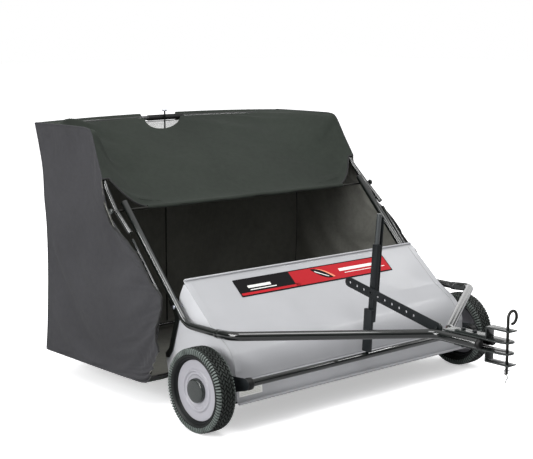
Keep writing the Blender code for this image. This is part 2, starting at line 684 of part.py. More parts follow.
def upper_hoop():
    hoop = tube("upper_hoop", mirrored(HOOP), HOOP_R, "black_gloss", seg=10, bend=0.030, steps=3)
    for sign, _ in SIDES:
        drill_x(hoop, 0.650, 0.690, PIVOT_YZ, 0.0056, sign=sign)


def lower_frame():
    tube("lower_frame", mirrored([(HOOP_X, y, z) for y, z in LOWER_SIDE]), 0.0060,
         "black_gloss", seg=8, bend=0.040, steps=3)


def floor_front_bar():
    end = HOOP_X - 0.0066
    tube("floor_front_bar", [(-end, 0.3560, 0.1120), (end, 0.3560, 0.1120)], 0.0055,
         "black_gloss", seg=8)


def prop_rod():
    lathe("prop_rod",
          [(0.1030, 0.0), (0.1030, 0.0035), (1.0460, 0.0035), (1.0460, 0.0100),
           (1.0490, 0.0115), (1.0520, 0.0100), (1.0520, 0.0)],
          (-0.030, 1.0850, 0), "zinc", seg=10, axis=2)


# ---------------------------------------------------------------- hopper bag
BAG_X, BAG_WALL, BAG_TOP_Z = 0.6868, 0.004, 1.0225
# (y, z) of the outer skin at the side: hem -> top, rear, floor rear -> floor front
RISE = [(0.620, 0.838), (0.667, 0.919), (0.716, 1.007), (0.752, BAG_TOP_Z), (0.805, 1.0240),
        (0.940, 1.0240), (BAG_REAR_Y, BAG_TOP_Z)]
REAR = [(1.085, 0.936), (1.044, 0.840), (1.018, 0.720), (1.005, 0.602), (1.004, 0.450),
        (1.012, 0.300), (1.022, 0.180), (1.034, 0.0960)]
FLOOR = [(0.800, 0.0960), (0.600, 0.0960), (0.447, 0.0975), (0.348, 0.1010), (0.315, 0.1200)]
PROFILE = RISE + REAR + FLOOR
# (y, z) of the side panel's free edge, floor front -> cut-out -> hem
EDGE = [(0.258, 0.234), (0.267, 0.263), (0.2740, 0.314), (0.2480, 0.3700), (0.2370, 0.443),
        (0.301, 0.489), (0.374, 0.568), (0.468, 0.634), (0.546, 0.671), (0.597, 0.741)]
# places across the bag, as a part of its half-width
STATIONS = [-1.0, -0.955, -0.91, -0.86, -0.80, -0.74, -0.5, -0.25, 0.0,
            0.25, 0.5, 0.74, 0.80, 0.86, 0.91, 0.955, 1.0]
# (y, z) ends of the canopy's middle line, and its upward bow
CANOPY_FRONT, CANOPY_REAR, CANOPY_BOW = (0.5490, 0.7260), (1.0800, 1.0195), 0.012
# hand slot: half-ellipse in front, straight sides behind
SLOT_HALF_W, SLOT_Y, SLOT_DEPTH, SLOT_REAR_Y = 0.100, 1.0700, 0.0450, 1.1215


def side_x(z):
    """Half-width of the bag: upright below the pivot rod, leaning inwards above it."""
    pivot_z = PIVOT_YZ[1]
    return BAG_X - 0.0310 * max(0.0, (z - pivot_z) / (BAG_TOP_Z - pivot_z))


def skin_point(index, station):
    """Skin point: the canopy hangs between the hoop's sides and the rear bulges backwards."""
    y, z = PROFILE[index]
    x = station * side_x(z)
    last_rise = len(RISE) - 1
    if index < last_rise:
        edge = 1.0 - max(0.0, min(1.0, (0.955 - abs(station)) / 0.20))    # 1 side, 0 inside
        weight = 1.0 - edge ** 2
        t = min(1.0, index / (last_rise - 1))
        (front_y, front_z), (rear_y, rear_z) = CANOPY_FRONT, CANOPY_REAR
        middle_y = front_y + (rear_y - front_y) * t
        middle_z = front_z + (rear_z - front_z) * t + CANOPY_BOW * sin(pi * t)
        y, z = y + (middle_y - y) * weight, z + (middle_z - z) * weight
    elif last_rise < index <= last_rise + len(REAR):
        middle_y = BAG_REAR_Y - 0.026 * (BAG_TOP_Z - z) / 0.925
        y += (middle_y - y) * (1.0 - abs(station) ** 2.2)
    return (x, y, z)


def bag_skin():
    bm = bmesh.new()
    grid = [[bm.verts.new(skin_point(i, u)) for u in STATIONS] for i in range(len(PROFILE))]
    for row, below in zip(grid, grid[1:]):
        for j in range(len(STATIONS) - 1):
            bm.faces.new((row[j], below[j], below[j + 1], row[j + 1]))
    # side panels
    for column, sign in ((0, -1), (-1, 1)):
        edge = [bm.verts.new((sign * side_x(z), y, z)) for y, z in EDGE]
        loop = [row[column] for row in grid] + edge
        face = bm.faces.new(loop if sign > 0 else loop[::-1])
        face.normal_update()
        bmesh.ops.triangulate(bm, faces=[face])
    return bm


def hopper_bag():
    bag = make("hopper_bag", bag_skin(), "bag_fabric")
    wall = bag.modifiers.new("wall", "SOLIDIFY")
    wall.thickness = BAG_WALL
    wall.offset = -1.0
    wall.use_even_offset = True
    # hand cut-out in the canopy over the rear tube
    angles = [pi + pi * k / 10 for k in range(11)]
    outline = [(SLOT_HALF_W * cos(t), SLOT_Y + SLOT_DEPTH * sin(t)) for t in angles]
    outline += [(SLOT_HALF_W, SLOT_REAR_Y), (-SLOT_HALF_W, SLOT_REAR_Y)]
    slot = prism("cutter_hand_slot", outline, 2, 0.930, 1.060, "bag_fabric")
    boolean(bag, slot, "hand_slot")


# ---------------------------------------------------------------- assembly
def joint(name, place, names=(), parent=None, parent_place=(0.0, 0.0, 0.0)):
    """Empty on a joint's axis. The named pieces hang from it, their origins moved onto it."""
    pivot = bpy.data.objects.new(name, None)
    pivot.empty_display_size = 0.05
    bpy.context.scene.collection.objects.link(pivot)
    pivot.parent = parent
    pivot.location = Vector(place) - Vector(parent_place)
    for piece_name in names:
        piece = bpy.data.objects[piece_name]
        piece.data.transform(Matrix.Translation(-Vector(place)))
        piece.parent = pivot
    return pivot


def assemble():
    pieces = [ob for ob in bpy.data.objects if ob.type == "MESH"]
    root = joint("sweeper_frame", (0.0, -(HITCH_FRONT_Y + BAG_REAR_Y) / 2, 0.0))

    # everything on the axle frame swings about the brush's axis
    brush = (0.0, *BRUSH_YZ)
    axle_pieces = ["front_tube", "lever_bracket", "height_lever", "lever_grip"]
    axle_pieces += [stem + side for _, side in SIDES
                    for stem in ("wheel_arm_", "stub_axle_", "tube_clamp_")]
    axle = joint("axle_frame_pivot", brush, axle_pieces, root)
    strips = ["brush_strip_%d" % (k + 1) for k in range(STRIP_COUNT)]
    joint("brush_pivot", brush, ["brush_shaft"] + strips, root)
    for sign, side in SIDES:
        joint("wheel_axle_" + side, (sign * WHEEL_X, *AXLE_YZ),
              [stem + side for stem in ("tire_", "wheel_disc_", "hub_cap_", "drive_gear_")],
              axle, brush)
        joint("pinion_axle_" + side, (sign * (GEAR_X0 + GEAR_X1) / 2, *BRUSH_YZ),
              ["brush_pinion_" + side], axle, brush)
    joint("trigger_pivot", (sum(TRIGGER_X) / 2, *TRIGGER_PIVOT_YZ), ["squeeze_trigger"],
          axle, brush)
    # the slide line's height is rounded to 0.1 mm
    joint("latch_slide_line", (0.0, LATCH_Y, round(LATCH_YZ[1], 4)), ["latch_pin"], axle, brush)

    joint("strap_pivot", (0.0, *STRAP_BOLT_YZ), ["height_strap"], root)
    joint("hopper_pivot", (0.0, *PIVOT_YZ),
          ["upper_hoop", "lower_frame", "floor_front_bar", "prop_rod", "hopper_bag"], root)
    clip = (0.0, PIN_Y, CLIP_Z)
    pin_line = joint("hitch_pin_line", clip, ["hitch_pin"], root)
    joint("hitch_clip_line", clip, ["hitch_clip"], pin_line, clip)

    # fixed pieces and cutters hang from the frame itself
    for piece in pieces:
        if piece.parent is None:
            piece.parent = root


for build in (housing_cover, rear_tie_bar, hitch_plates, hitch_brackets, hitch_bolts, hitch_pin,
              hitch_clip, pivot_rod, front_tube, height_lever, squeeze_trigger, latch_pin,
              height_strap, strap_bolt, brush_shaft, brush_strips, upper_hoop, lower_frame,
              floor_front_bar, prop_rod, hopper_bag):
    build()
for build in (side_plate, brush_bearing, side_arm, arm_bolt, lower_strut, drawbar, pivot_knob,
              wheel_arm, stub_axle, tube_clamp, wheel, gear_pair):
    for side_sign, side_name in SIDES:
        build(side_sign, side_name)
assemble()
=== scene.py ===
"""Looks for the tow-behind lawn sweeper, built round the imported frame.

Metres, +Z up. The axle runs along X, the hitch lies towards -Y and the hopper towards +Y.
"Left" is -X. Layout numbers have y = 0 and z = 0 on the ground under the axle.
"""
import json
from functools import cached_property
from math import sin, cos, tan, pi, radians, hypot
import bpy
import bmesh
import numpy as np
from mathutils import Vector, Matrix
from mathutils.bvhtree import BVHTree


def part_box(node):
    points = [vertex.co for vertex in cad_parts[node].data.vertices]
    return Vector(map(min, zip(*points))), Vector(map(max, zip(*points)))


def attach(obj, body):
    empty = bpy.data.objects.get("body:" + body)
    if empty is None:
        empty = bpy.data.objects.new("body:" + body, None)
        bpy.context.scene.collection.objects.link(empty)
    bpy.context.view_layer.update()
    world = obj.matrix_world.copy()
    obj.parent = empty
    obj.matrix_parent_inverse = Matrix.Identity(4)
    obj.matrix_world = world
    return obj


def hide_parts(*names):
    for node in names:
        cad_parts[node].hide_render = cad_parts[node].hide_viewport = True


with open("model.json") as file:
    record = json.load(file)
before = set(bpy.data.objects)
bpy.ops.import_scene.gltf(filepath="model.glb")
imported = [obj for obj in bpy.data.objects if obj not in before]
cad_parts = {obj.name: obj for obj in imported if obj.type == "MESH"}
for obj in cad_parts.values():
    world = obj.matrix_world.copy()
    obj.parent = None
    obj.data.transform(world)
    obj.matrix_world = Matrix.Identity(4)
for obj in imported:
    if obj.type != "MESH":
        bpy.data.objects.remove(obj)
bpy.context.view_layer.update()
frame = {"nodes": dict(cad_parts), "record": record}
NODES = frame["nodes"]
scene = bpy.context.scene
# The frame's own origin is not under the axle: the axle stands 0.812 behind the hitch plate.
AXLE_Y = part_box("hitch_plate_upper")[0][1] + 0.812
SIDES = ((-1, "left"), (1, "right"))
BLACK, WHITE = (0, 0, 0, 1), (1, 1, 1, 1)

# Shared places, in layout numbers
PIVOT_Y, PIVOT_Z = 0.533, 0.724           # rod the hopper swings on
REAR_BAR_Y, REAR_BAR_Z = 1.1000, 1.0050   # rear bar of the hoop, at its ends
HITCH_Y = -0.789                          # hitch pin
HOUSING_HALF = 0.6095                     # half the width of the brush housing


# ------------------------------------------------------------------ shader helpers
def linear(rgb):
    """Linear RGBA from 0-255 sRGB."""
    return tuple(((v / 255 + 0.055) / 1.055) ** 2.4 if v > 10 else v / 255 / 12.92
                 for v in rgb) + (1.0,)


def tinted(rgb, gain, add=0):
    return linear([min(255, v * gain + add) for v in rgb])


class Shader:
    """The node tree of a material or a world. Values may be numbers or output sockets."""

    def __init__(self, owner):
        owner.use_nodes = True
        self.owner = owner
        self.tree = owner.node_tree

    def feed(self, socket, value):
        if isinstance(value, bpy.types.NodeSocket):
            self.tree.links.new(value, socket)
        else:
            socket.default_value = value

    def add(self, kind, inputs=None, **settings):
        node = self.tree.nodes.new(kind)
        for key, value in settings.items():
            setattr(node, key, value)
        for key, value in (inputs or {}).items():
            self.feed(node.inputs[key], value)
        return node

    @cached_property
    def object_coords(self):
        return self.add("ShaderNodeTexCoord").outputs["Object"]

    def mapping(self):
        return self.add("ShaderNodeMapping", {"Vector": self.object_coords}).outputs["Vector"]

    def noise(self, scale, detail=3.0, roughness=0.5):
        return self.add("ShaderNodeTexNoise", {
            "Scale": scale, "Detail": detail, "Roughness": roughness,
            "Vector": self.mapping()}).outputs["Fac"]

    def wave(self, direction, scale, **inputs):
        return self.add("ShaderNodeTexWave", {"Scale": scale, "Vector": self.mapping(), **inputs},
                        bands_direction=direction).outputs["Fac"]

    def ramp(self, value, low, high):
        """Two-stop colour ramp; low and high are (position, colour)."""
        node = self.add("ShaderNodeValToRGB", {"Fac": value})
        for stop, (position, color) in zip(node.color_ramp.elements, (low, high)):
            stop.position = position
            stop.color = color
        return node.outputs["Color"]

    def math(self, operation, *values):
        node = self.add("ShaderNodeMath", operation=operation)
        for socket, value in zip(node.inputs, values):
            self.feed(socket, value)
        return node.outputs[0]

    def scaled(self, value, gain, offset):
        return self.math("ADD", self.math("MULTIPLY", value, gain), offset)

    def mix(self, factor, first, second, blend="MIX"):
        return self.add("ShaderNodeMix", {0: factor, 6: first, 7: second} if False else None,
                        data_type="RGBA", blend_type=blend) if False else self._mix(
                            factor, first, second, blend)

    def _mix(self, factor, first, second, blend):
        node = self.add("ShaderNodeMix", data_type="RGBA", blend_type=blend)
        for index, value in ((0, factor), (6, first), (7, second)):
            self.feed(node.inputs[index], value)
        return node.outputs[2]

    def bump(self, height, strength, distance, under=None):
        inputs = {"Strength": strength, "Distance": distance, "Height": height}
        if under:
            inputs["Normal"] = under
        return self.add("ShaderNodeBump", inputs).outputs["Normal"]

    def surface(self, color, roughness, **others):
        """Set the Principled inputs and return the material."""
        inputs = {"Base Color": color, "Roughness": roughness}
        inputs.update((key.replace("_", " "), value) for key, value in others.items())
        for key, value in inputs.items():
            self.feed(self.tree.nodes["Principled BSDF"].inputs[key], value)
        return self.owner

    def output(self, socket):
        self.feed(self.tree.nodes["Material Output"].inputs["Surface"], socket)


def new_shader(name):
    return Shader(bpy.data.materials.new(name))


# ------------------------------------------------------------------ materials
def paint(name, rgb, rough, coat, peel, var, spec=0.5):
    """Paint or moulded plastic: peel is the bump strength, var the tone variation."""
    shader = new_shader(name)
    color = shader.ramp(shader.noise(scale=6.0, detail=2.0),
                        (0.3, linear([v * (1 - var) for v in rgb])),
                        (0.7, tinted(rgb, 1 + var * 0.6)))
    pointiness = shader.add("ShaderNodeNewGeometry").outputs["Pointiness"]
    edge = shader.ramp(pointiness, (0.53, BLACK), (0.62, WHITE))
    color = shader.mix(shader.math("MULTIPLY", edge, 0.25), color, tinted(rgb, 1.25, add=12))
    return shader.surface(
        color, shader.scaled(shader.noise(scale=40.0, detail=4.0), gain=0.10, offset=rough - 0.05),
        Normal=shader.bump(shader.noise(scale=420.0, detail=2.0), peel, distance=0.0006),
        Coat_Weight=coat, Coat_Roughness=0.06, Specular_IOR_Level=spec)


def metal(name, rgb, rough):
    shader = new_shader(name)
    color = shader.ramp(shader.noise(scale=25.0, detail=4.0),
                        (0.3, linear([v * 0.86 for v in rgb])), (0.7, linear(rgb)))
    return shader.surface(
        color, shader.scaled(shader.noise(scale=90.0, detail=5.0), gain=0.22, offset=rough - 0.1),
        Normal=shader.bump(shader.noise(scale=300.0, detail=3.0, roughness=0.6),
                           strength=0.10, distance=0.0004),
        Metallic=1.0)


def rubber(name, rgb, rough):
    shader = new_shader(name)
    color = shader.ramp(shader.noise(scale=30.0, detail=5.0),
                        (0.3, linear([v * 0.82 for v in rgb])),
                        (0.75, linear([v * 1.15 for v in rgb])))
    height = shader.noise(scale=700.0)
    return shader.surface(
        color, shader.scaled(shader.noise(scale=60.0), gain=0.15, offset=rough - 0.08),
        Normal=shader.bump(height, strength=0.18, distance=0.0005), Specular_IOR_Level=0.32)


def fabric(name, rgb, sheen, spec=0.5):
    """Coated woven cloth: crossed fine ribs, soft mottling, a dusty sheen."""
    shader = new_shader(name)
    broad = shader.math("MULTIPLY", shader.noise(scale=3.0, detail=4.0), 0.6)
    fine = shader.math("MULTIPLY", shader.noise(scale=45.0, detail=4.0, roughness=0.65), 0.4)
    color = shader.ramp(shader.math("ADD", broad, fine),
                        (0.32, linear([v * 0.9 for v in rgb])),
                        (0.68, linear([v * 1.1 for v in rgb])))
    ribs = [shader.wave(axis, scale=150.0, Distortion=1.2, Detail=1.0) for axis in "XYZ"]
    weave = shader.math("ADD", shader.math("ADD", ribs[0], ribs[1]), ribs[2])
    thread = shader.ramp(shader.math("MULTIPLY", weave, 0.33),
                         (0.3, (0.80, 0.80, 0.80, 1)), (0.7, (1.1, 1.1, 1.1, 1)))
    color = shader.mix(0.25, color, thread, blend="MULTIPLY")
    normal = shader.bump(weave, strength=0.08, distance=0.0006)
    normal = shader.bump(shader.noise(scale=14.0, detail=4.0, roughness=0.55),
                         strength=0.22, distance=0.010, under=normal)
    return shader.surface(color, 0.85, Normal=normal, Sheen_Weight=sheen, Sheen_Roughness=0.5,
                          Specular_IOR_Level=spec)


def gauze(name, rgb, clear):
    """Open pale mesh: clear is the mean see-through share, varied by fine threads."""
    shader = new_shader(name)
    hole = shader.add("ShaderNodeBsdfTransparent")
    blend = shader.add("ShaderNodeMixShader")
    threads = shader.wave("X", scale=110.0)
    material = shader.surface(linear(rgb), 0.8)
    principled = shader.tree.nodes["Principled BSDF"]
    for index, value in enumerate((shader.scaled(threads, gain=0.14, offset=clear - 0.07),
                                   principled.outputs[0], hole.outputs[0])):
        shader.feed(blend.inputs[index], value)
    shader.output(blend.outputs[0])
    return material


MAT = {
    "grey_sheet": paint("grey_paint", (173, 174, 177), rough=0.46, coat=0.06, peel=0.05, var=0.02),
    # lighter copy of the grey paint for the side plates: painted light from the lamp on the left
    "grey_sheet_lit_side": paint("grey_paint_lit_side", (198, 199, 202),
                       rough=0.46, coat=0.06, peel=0.05, var=0.02),
    "black_gloss": paint("gloss_black_paint", (15, 19, 17),
                         rough=0.13, coat=0.55, peel=0.01, var=0.15),
    "black_powder": paint("black_powder_coat", (24, 28, 30),
                          rough=0.44, coat=0.04, peel=0.25, var=0.10, spec=0.22),
    "hitch_black": paint("hitch_black_paint", (40, 45, 43),
                         rough=0.24, coat=0.30, peel=0.05, var=0.12),
    "zinc": metal("zinc_plate", (186, 190, 200), rough=0.34),
    "dark_steel": metal("oiled_steel", (58, 58, 56), rough=0.36),
    "tire_rubber": rubber("tire_rubber", (21, 24, 23), rough=0.50),
    # tyre ribs in a much lighter copy of the tyre rubber: painted highlight on their lit edges
    "rib_rubber_lit": rubber("rib_rubber_lit", (104, 112, 108), rough=0.50),
    # near-black rubber: painted shade in the grooves between the tread blocks
    "groove_shade_rubber": rubber("groove_shade_rubber", (5, 6, 6), rough=0.90),
    # tread blocks in a lighter copy of the tyre rubber: painted light on their lit tops
    "block_rubber_lit": rubber("block_rubber_lit", (38, 43, 40), rough=0.55),
    # near-black rim well: painted shade of the recess behind the tyre bead
    "well_shade_black": paint("well_shade_black", (15, 18, 18),
                        rough=0.50, coat=0.0, peel=0.05, var=0.05, spec=0.25),
    "black_rubber": rubber("black_rubber", (13, 14, 14), rough=0.55),
    "grip_vinyl": paint("grip_vinyl", (52, 57, 58), rough=0.25, coat=0.5, peel=0.04, var=0.1),
    "disc_grey": paint("moulded_grey", (166, 165, 171), rough=0.42, coat=0.1, peel=0.10, var=0.03),
    "cap_black": paint("moulded_black", (40, 45, 43), rough=0.22, coat=0.5, peel=0.05, var=0.06),
    "gear_plastic": paint("nylon_black", (40, 40, 42), rough=0.5, coat=0.0, peel=0.15, var=0.1),
    "bristle": rubber("bristle_black", (28, 28, 30), rough=0.8),
    "bag_fabric": fabric("side_cloth", (50, 50, 53), sheen=0.05, spec=0.42),
    "canopy_cloth": fabric("canopy_cloth", (50, 55, 50), sheen=0.02, spec=0.12),
    # inside of the bag, far lighter than the outer cloth: painted light lifting the shade inside
    # the hopper
    "inner_cloth_painted_light": fabric("inner_cloth_painted_light", (112, 112, 106), sheen=0.03, spec=0.2),
    "binding": fabric("black_binding", (22, 23, 23), sheen=0.10),
    "window_cloth": gauze("window_mesh", (205, 205, 198), clear=0.62),
    "decal_black": paint("decal_black", (14, 12, 14),
                         rough=0.60, coat=0.0, peel=0.02, var=0.02, spec=0.08),
    "decal_red": paint("decal_red", (172, 22, 32),
                       rough=0.55, coat=0.0, peel=0.02, var=0.03, spec=0.12),
    "decal_amber": paint("decal_amber", (238, 128, 88), rough=0.42, coat=0.2, peel=0.02, var=0.03),
    "decal_grey": paint("decal_grey", (176, 178, 168), rough=0.45, coat=0.2, peel=0.02, var=0.02),
    "decal_white": paint("decal_white", (236, 236, 230), rough=0.45, coat=0.2, peel=0.02, var=0.02),
}


# ------------------------------------------------------------------ mesh helpers
def shade(data, sharp):
    """Smooth shading, broken at edges over sharp degrees."""
    data.shade_smooth()
    data.set_sharp_from_angle(angle=radians(sharp))


def bevel(part, width, degrees):
    edge = part.modifiers.new("edge", "BEVEL")
    edge.width = width
    edge.segments = 2
    edge.limit_method = "ANGLE"
    edge.angle_limit = radians(degrees)


def add_part(name, mesh, material, body, slot=None, stands_for=None, sharp=38):
    """Turn a bmesh in layout numbers into an object; sharp=None leaves it flat shaded."""
    bmesh.ops.translate(mesh, vec=(0, AXLE_Y, 0), verts=mesh.verts[:])
    bmesh.ops.recalc_face_normals(mesh, faces=mesh.faces[:])
    data = bpy.data.meshes.new(name)
    mesh.to_mesh(data)
    mesh.free()
    part = bpy.data.objects.new(name, data)
    scene.collection.objects.link(part)
    data.materials.append(MAT[material])
    if sharp is not None:
        shade(data, sharp)
    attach(part, body)
    if stands_for:
        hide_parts(stands_for)
    return part


def loft(rings, mesh=None):
    """Join closed rings of points, each to the next, and cap both ends."""
    if mesh is None:
        mesh = bmesh.new()
    rings = [[mesh.verts.new(point) for point in ring] for ring in rings]
    count = len(rings[0])
    for ring, after in zip(rings, rings[1:]):
        for i in range(count):
            k = (i + 1) % count
            mesh.faces.new((ring[i], ring[k], after[k], after[i]))
    mesh.faces.new(rings[0][::-1])
    mesh.faces.new(rings[-1])
    return mesh


def round_path(points, radius, steps):
    """Replace the corners of a path with arcs; near-straight corners stay as points."""
    points = [Vector(p) for p in points]
    path = [points[0]]
    for before, corner, after in zip(points, points[1:], points[2:]):
        back, ahead = (before - corner).normalized(), (after - corner).normalized()
        angle = back.angle(ahead)
        if angle > radians(178):
            path.append(corner)
            continue
        trim = min(radius / tan(angle / 2), 0.45 * (before - corner).length,
                   0.45 * (after - corner).length)
        fitted = trim * tan(angle / 2)
        centre = corner + (back + ahead).normalized() * (fitted / sin(angle / 2))
        start, end = corner + back * trim - centre, corner + ahead * trim - centre
        axis = start.cross(end).normalized()
        path += [centre + Matrix.Rotation(start.angle(end) * k / steps, 3, axis) @ start
                 for k in range(steps + 1)]
    path.append(points[-1])
    return path


def path_frames(path):
    """(point, side, up, tangent) along a path, carried without twist."""
    tangents = [(ahead - back).normalized()
                for back, ahead in zip([path[0]] + path[:-1], path[1:] + [path[-1]])]
    first = tangents[0]
    guess = Vector((1, 0, 0)) if abs(first.x) < 0.7 else Vector((0, 0, 1))
    side = (guess - first * guess.dot(first)).normalized()
    result = []
    for point, tangent in zip(path, tangents):
        side = (side - tangent * side.dot(tangent)).normalized()
        result.append((point, side, tangent.cross(side), tangent))
    return result


def tube(name, points, radius, material, body, bend=0.0, segments=24, cap=0.0015, steps=12,
         slot=None, stands_for=None):
    """Sweep a circle along a path; bend rounds its corners, cap rounds the end edges."""
    path = round_path(points, bend, steps) if bend else [Vector(p) for p in points]
    frames = path_frames(path)
    stations = [(frame_, 0.0, radius) for frame_ in frames]
    stations[0] = (frames[0], cap, radius)
    stations[-1] = (frames[-1], -cap, radius)
    # each end steps in twice over the cap length
    stations = ([(frames[0], 0.0, radius - cap), (frames[0], cap * 0.3, radius - cap * 0.3)]
                + stations
                + [(frames[-1], -cap * 0.3, radius - cap * 0.3), (frames[-1], 0.0, radius - cap)])
    turns = [2 * pi * k / segments for k in range(segments)]
    rings = [[point + tangent * shift + (side * cos(turn) + up * sin(turn)) * ring_radius
              for turn in turns]
             for (point, side, up, tangent), shift, ring_radius in stations]
    return add_part(name, loft(rings), material, body, slot, stands_for)


def lathe(profile, centre, segments, axis=0, flip=1.0):
    """Turn a closed (along, radius) profile about an axis; radius 0 makes a single pole."""
    mesh = bmesh.new()
    poles, columns = {}, []
    for i in range(segments):
        angle = 2 * pi * i / segments
        column = []
        for k, (along, radius) in enumerate(profile):
            place = [0.0, 0.0, 0.0]
            place[axis] = along * flip
            place[(axis + 1) % 3] = radius * cos(angle)
            place[(axis + 2) % 3] = radius * sin(angle)
            point = Vector(place) + Vector(centre)
            if radius == 0.0:
                if k not in poles:
                    poles[k] = mesh.verts.new(point)
                column.append(poles[k])
            else:
                column.append(mesh.verts.new(point))
        columns.append(column)
    count = len(profile)
    for i in range(segments):
        here, after = columns[i], columns[(i + 1) % segments]
        for k in range(count):
            after_k = (k + 1) % count
            corners = list(dict.fromkeys((here[k], here[after_k], after[after_k], after[k])))
            if len(corners) > 2:
                mesh.faces.new(corners)
    return mesh


def smooth_line(points, per, sharp=()):
    """Catmull-Rom through an open 2-D line, per steps a span; indices in sharp stay corners."""
    points = [Vector(p) for p in points]
    line = []
    for i in range(len(points) - 1):
        p1, p2 = points[i], points[i + 1]
        p0 = points[i - 1] if i > 0 and i not in sharp else p1 + (p1 - p2)
        ends = i + 2 >= len(points) or (i + 1) in sharp
        p3 = p2 + (p2 - p1) if ends else points[i + 2]
        for k in range(per):
            t = k / per
            line.append(0.5 * ((2 * p1) + (p2 - p0) * t
                               + (2 * p0 - 5 * p1 + 4 * p2 - p3) * t * t
                               + (3 * p1 - p0 - 3 * p2 + p3) * t ** 3))
    line.append(points[-1])
    return [tuple(p) for p in line]


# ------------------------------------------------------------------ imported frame
def dress_frame():
    slots = {s["node"]: s["material_slot"] for s in frame["record"]["subparts"]}
    for name, part in NODES.items():
        if name.startswith(("hitch_plate", "hitch_bracket")):
            material = "hitch_black"
        # side plates take the lighter copy of the grey paint, painted light from the left
        elif name.startswith("side_plate"):
            material = "grey_sheet_lit_side"
        else:
            material = slots[name]
        part.data.materials.clear()
        part.data.materials.append(MAT[material])
        part.modifiers.new("weld", "WELD").merge_threshold = 0.00002
        bevel(part, width=0.0005, degrees=40)
        shade(part.data, sharp=38)


def blacken_prop_rod():
    """Black rod under its top 12 mm, which keep the slot's material."""
    rod = NODES["prop_rod"].data
    rod.materials.append(MAT["black_gloss"])
    top = max(v.co.z for v in rod.vertices)
    for face in rod.polygons:
        face.material_index = 0 if face.center.z > top - 0.012 else 1


dress_frame()
blacken_prop_rod()

# ------------------------------------------------------------------ tubes
ARM_X, ARM_Z = 0.632, 0.347         # side arm, and the height of its level front end
CROSS_HALF = 0.6060
HOPPER_X = 0.672                    # half width of the hopper's wire frames
PIN_RING = 0.0225                   # radius of the ring on the pull pin

# swaged collar where the arm plugs into the drawbar tube: (y, radius)
COLLAR = [(-0.0290, 0.0137), (-0.0290, 0.0158), (-0.0275, 0.0163), (-0.0120, 0.0160),
          (-0.0100, 0.0150), (-0.0095, 0.0137)]
# upper hoop, one side from the front up to the rear bar: (x, y, z)
HOOP = [(HOPPER_X, 0.443, 0.6500), (HOPPER_X, PIVOT_Y, PIVOT_Z), (0.6640, 0.602, 0.793),
        (0.6580, 0.638, 0.840), (0.6490, 0.684, 0.914), (0.6420, 0.7310, 0.9920),
        (0.6410, 0.7600, REAR_BAR_Z), (0.6410, REAR_BAR_Y, REAR_BAR_Z)]
# lower wire frame, from the upper front to the rear: (y, z)
LOWER = [(0.4310, 0.6290), (0.2620, 0.4400), (0.2850, 0.3000), (0.3400, 0.1130), (1.0150, 0.1110)]
# spring clip through the pin: (x, y from the pin, z)
HAIRPIN = [(0, -0.0150, 0.262), (0, 0.0085, 0.262), (0, 0.0100, 0.250), (0, 0.0062, 0.2435),
           (0, 0.0002, 0.2450), (0, -0.0055, 0.2400), (0, -0.0050, 0.2330), (0, 0.0000, 0.2270),
           (0.0008, 0.0040, 0.2200), (0.0008, 0.0030, 0.2150)]


def bow(x):
    """Height the rear bar gains from its slight upward bow."""
    return 0.013 * max(0.0, 1 - (x / 0.66) ** 2)


def drawbar(sign, side):
    x, hitch_x = sign * ARM_X, sign * 0.035
    tube("arm_tube_" + side, [(x, 0.540, 0.7545), (x, 0.160, ARM_Z), (x, -0.0280, ARM_Z)], 0.0135,
         "black_gloss", "chassis", bend=0.085, segments=28, stands_for="side_arm_" + side)
    tube("draw_tube_" + side,
         [(x, -0.0300, 0.3475), (x, -0.105, 0.353), (hitch_x, -0.500, 0.340),
          (hitch_x, -0.690, 0.340)], 0.0165,
         "black_gloss", "chassis", bend=0.060, segments=32, stands_for="drawbar_tube_" + side)
    add_part("collar_" + side, lathe(COLLAR, (x, 0, ARM_Z), 32, axis=1), "black_gloss", "chassis")


def hopper_wires():
    left = [(-x, y, z) for x, y, z in HOOP]
    bar = [(x, REAR_BAR_Y, REAR_BAR_Z + bow(x)) for x in np.linspace(-0.54, 0.54, 19)]
    tube("hoop_tube", left + bar + HOOP[::-1], 0.0095, "black_gloss", "hopper", bend=0.035,
         stands_for="upper_hoop")
    tube("lower_wire_frame",
         [(-HOPPER_X, y, z) for y, z in LOWER] + [(HOPPER_X, y, z) for y, z in LOWER[::-1]],
         0.0060, "black_gloss", "hopper", bend=0.045, segments=16, stands_for="lower_frame")


def hitch_pin():
    """Upright pin with an open ring on top, and its clip."""
    line = [(0.0, HITCH_Y, 0.247), (0.0, HITCH_Y, 0.418)]
    for k in range(25):
        angle = radians(180 - 11.5 * k)
        line.append((PIN_RING + PIN_RING * cos(angle), HITCH_Y, 0.441 + PIN_RING * sin(angle)))
    tube("pull_pin", line, 0.0050, "dark_steel", "pin", segments=20, stands_for="hitch_pin")
    tube("hairpin", [(x, HITCH_Y + y, z) for x, y, z in HAIRPIN], 0.0013, "dark_steel", "clip",
         bend=0.003, segments=10, cap=0.0004, steps=4, stands_for="hitch_clip")


for sign, side in SIDES:
    drawbar(sign, side)
tube("cross_tube", [(-CROSS_HALF, -0.146, 0.187), (CROSS_HALF, -0.146, 0.187)], 0.013,
     "black_gloss", "axle_frame", segments=28, stands_for="front_tube")
hopper_wires()
tube("pivot_bar", [(-0.6930, PIVOT_Y, PIVOT_Z), (0.6930, PIVOT_Y, PIVOT_Z)], 0.0048, "dark_steel",
     "chassis", segments=20, cap=0.001, stands_for="pivot_rod")
hitch_pin()


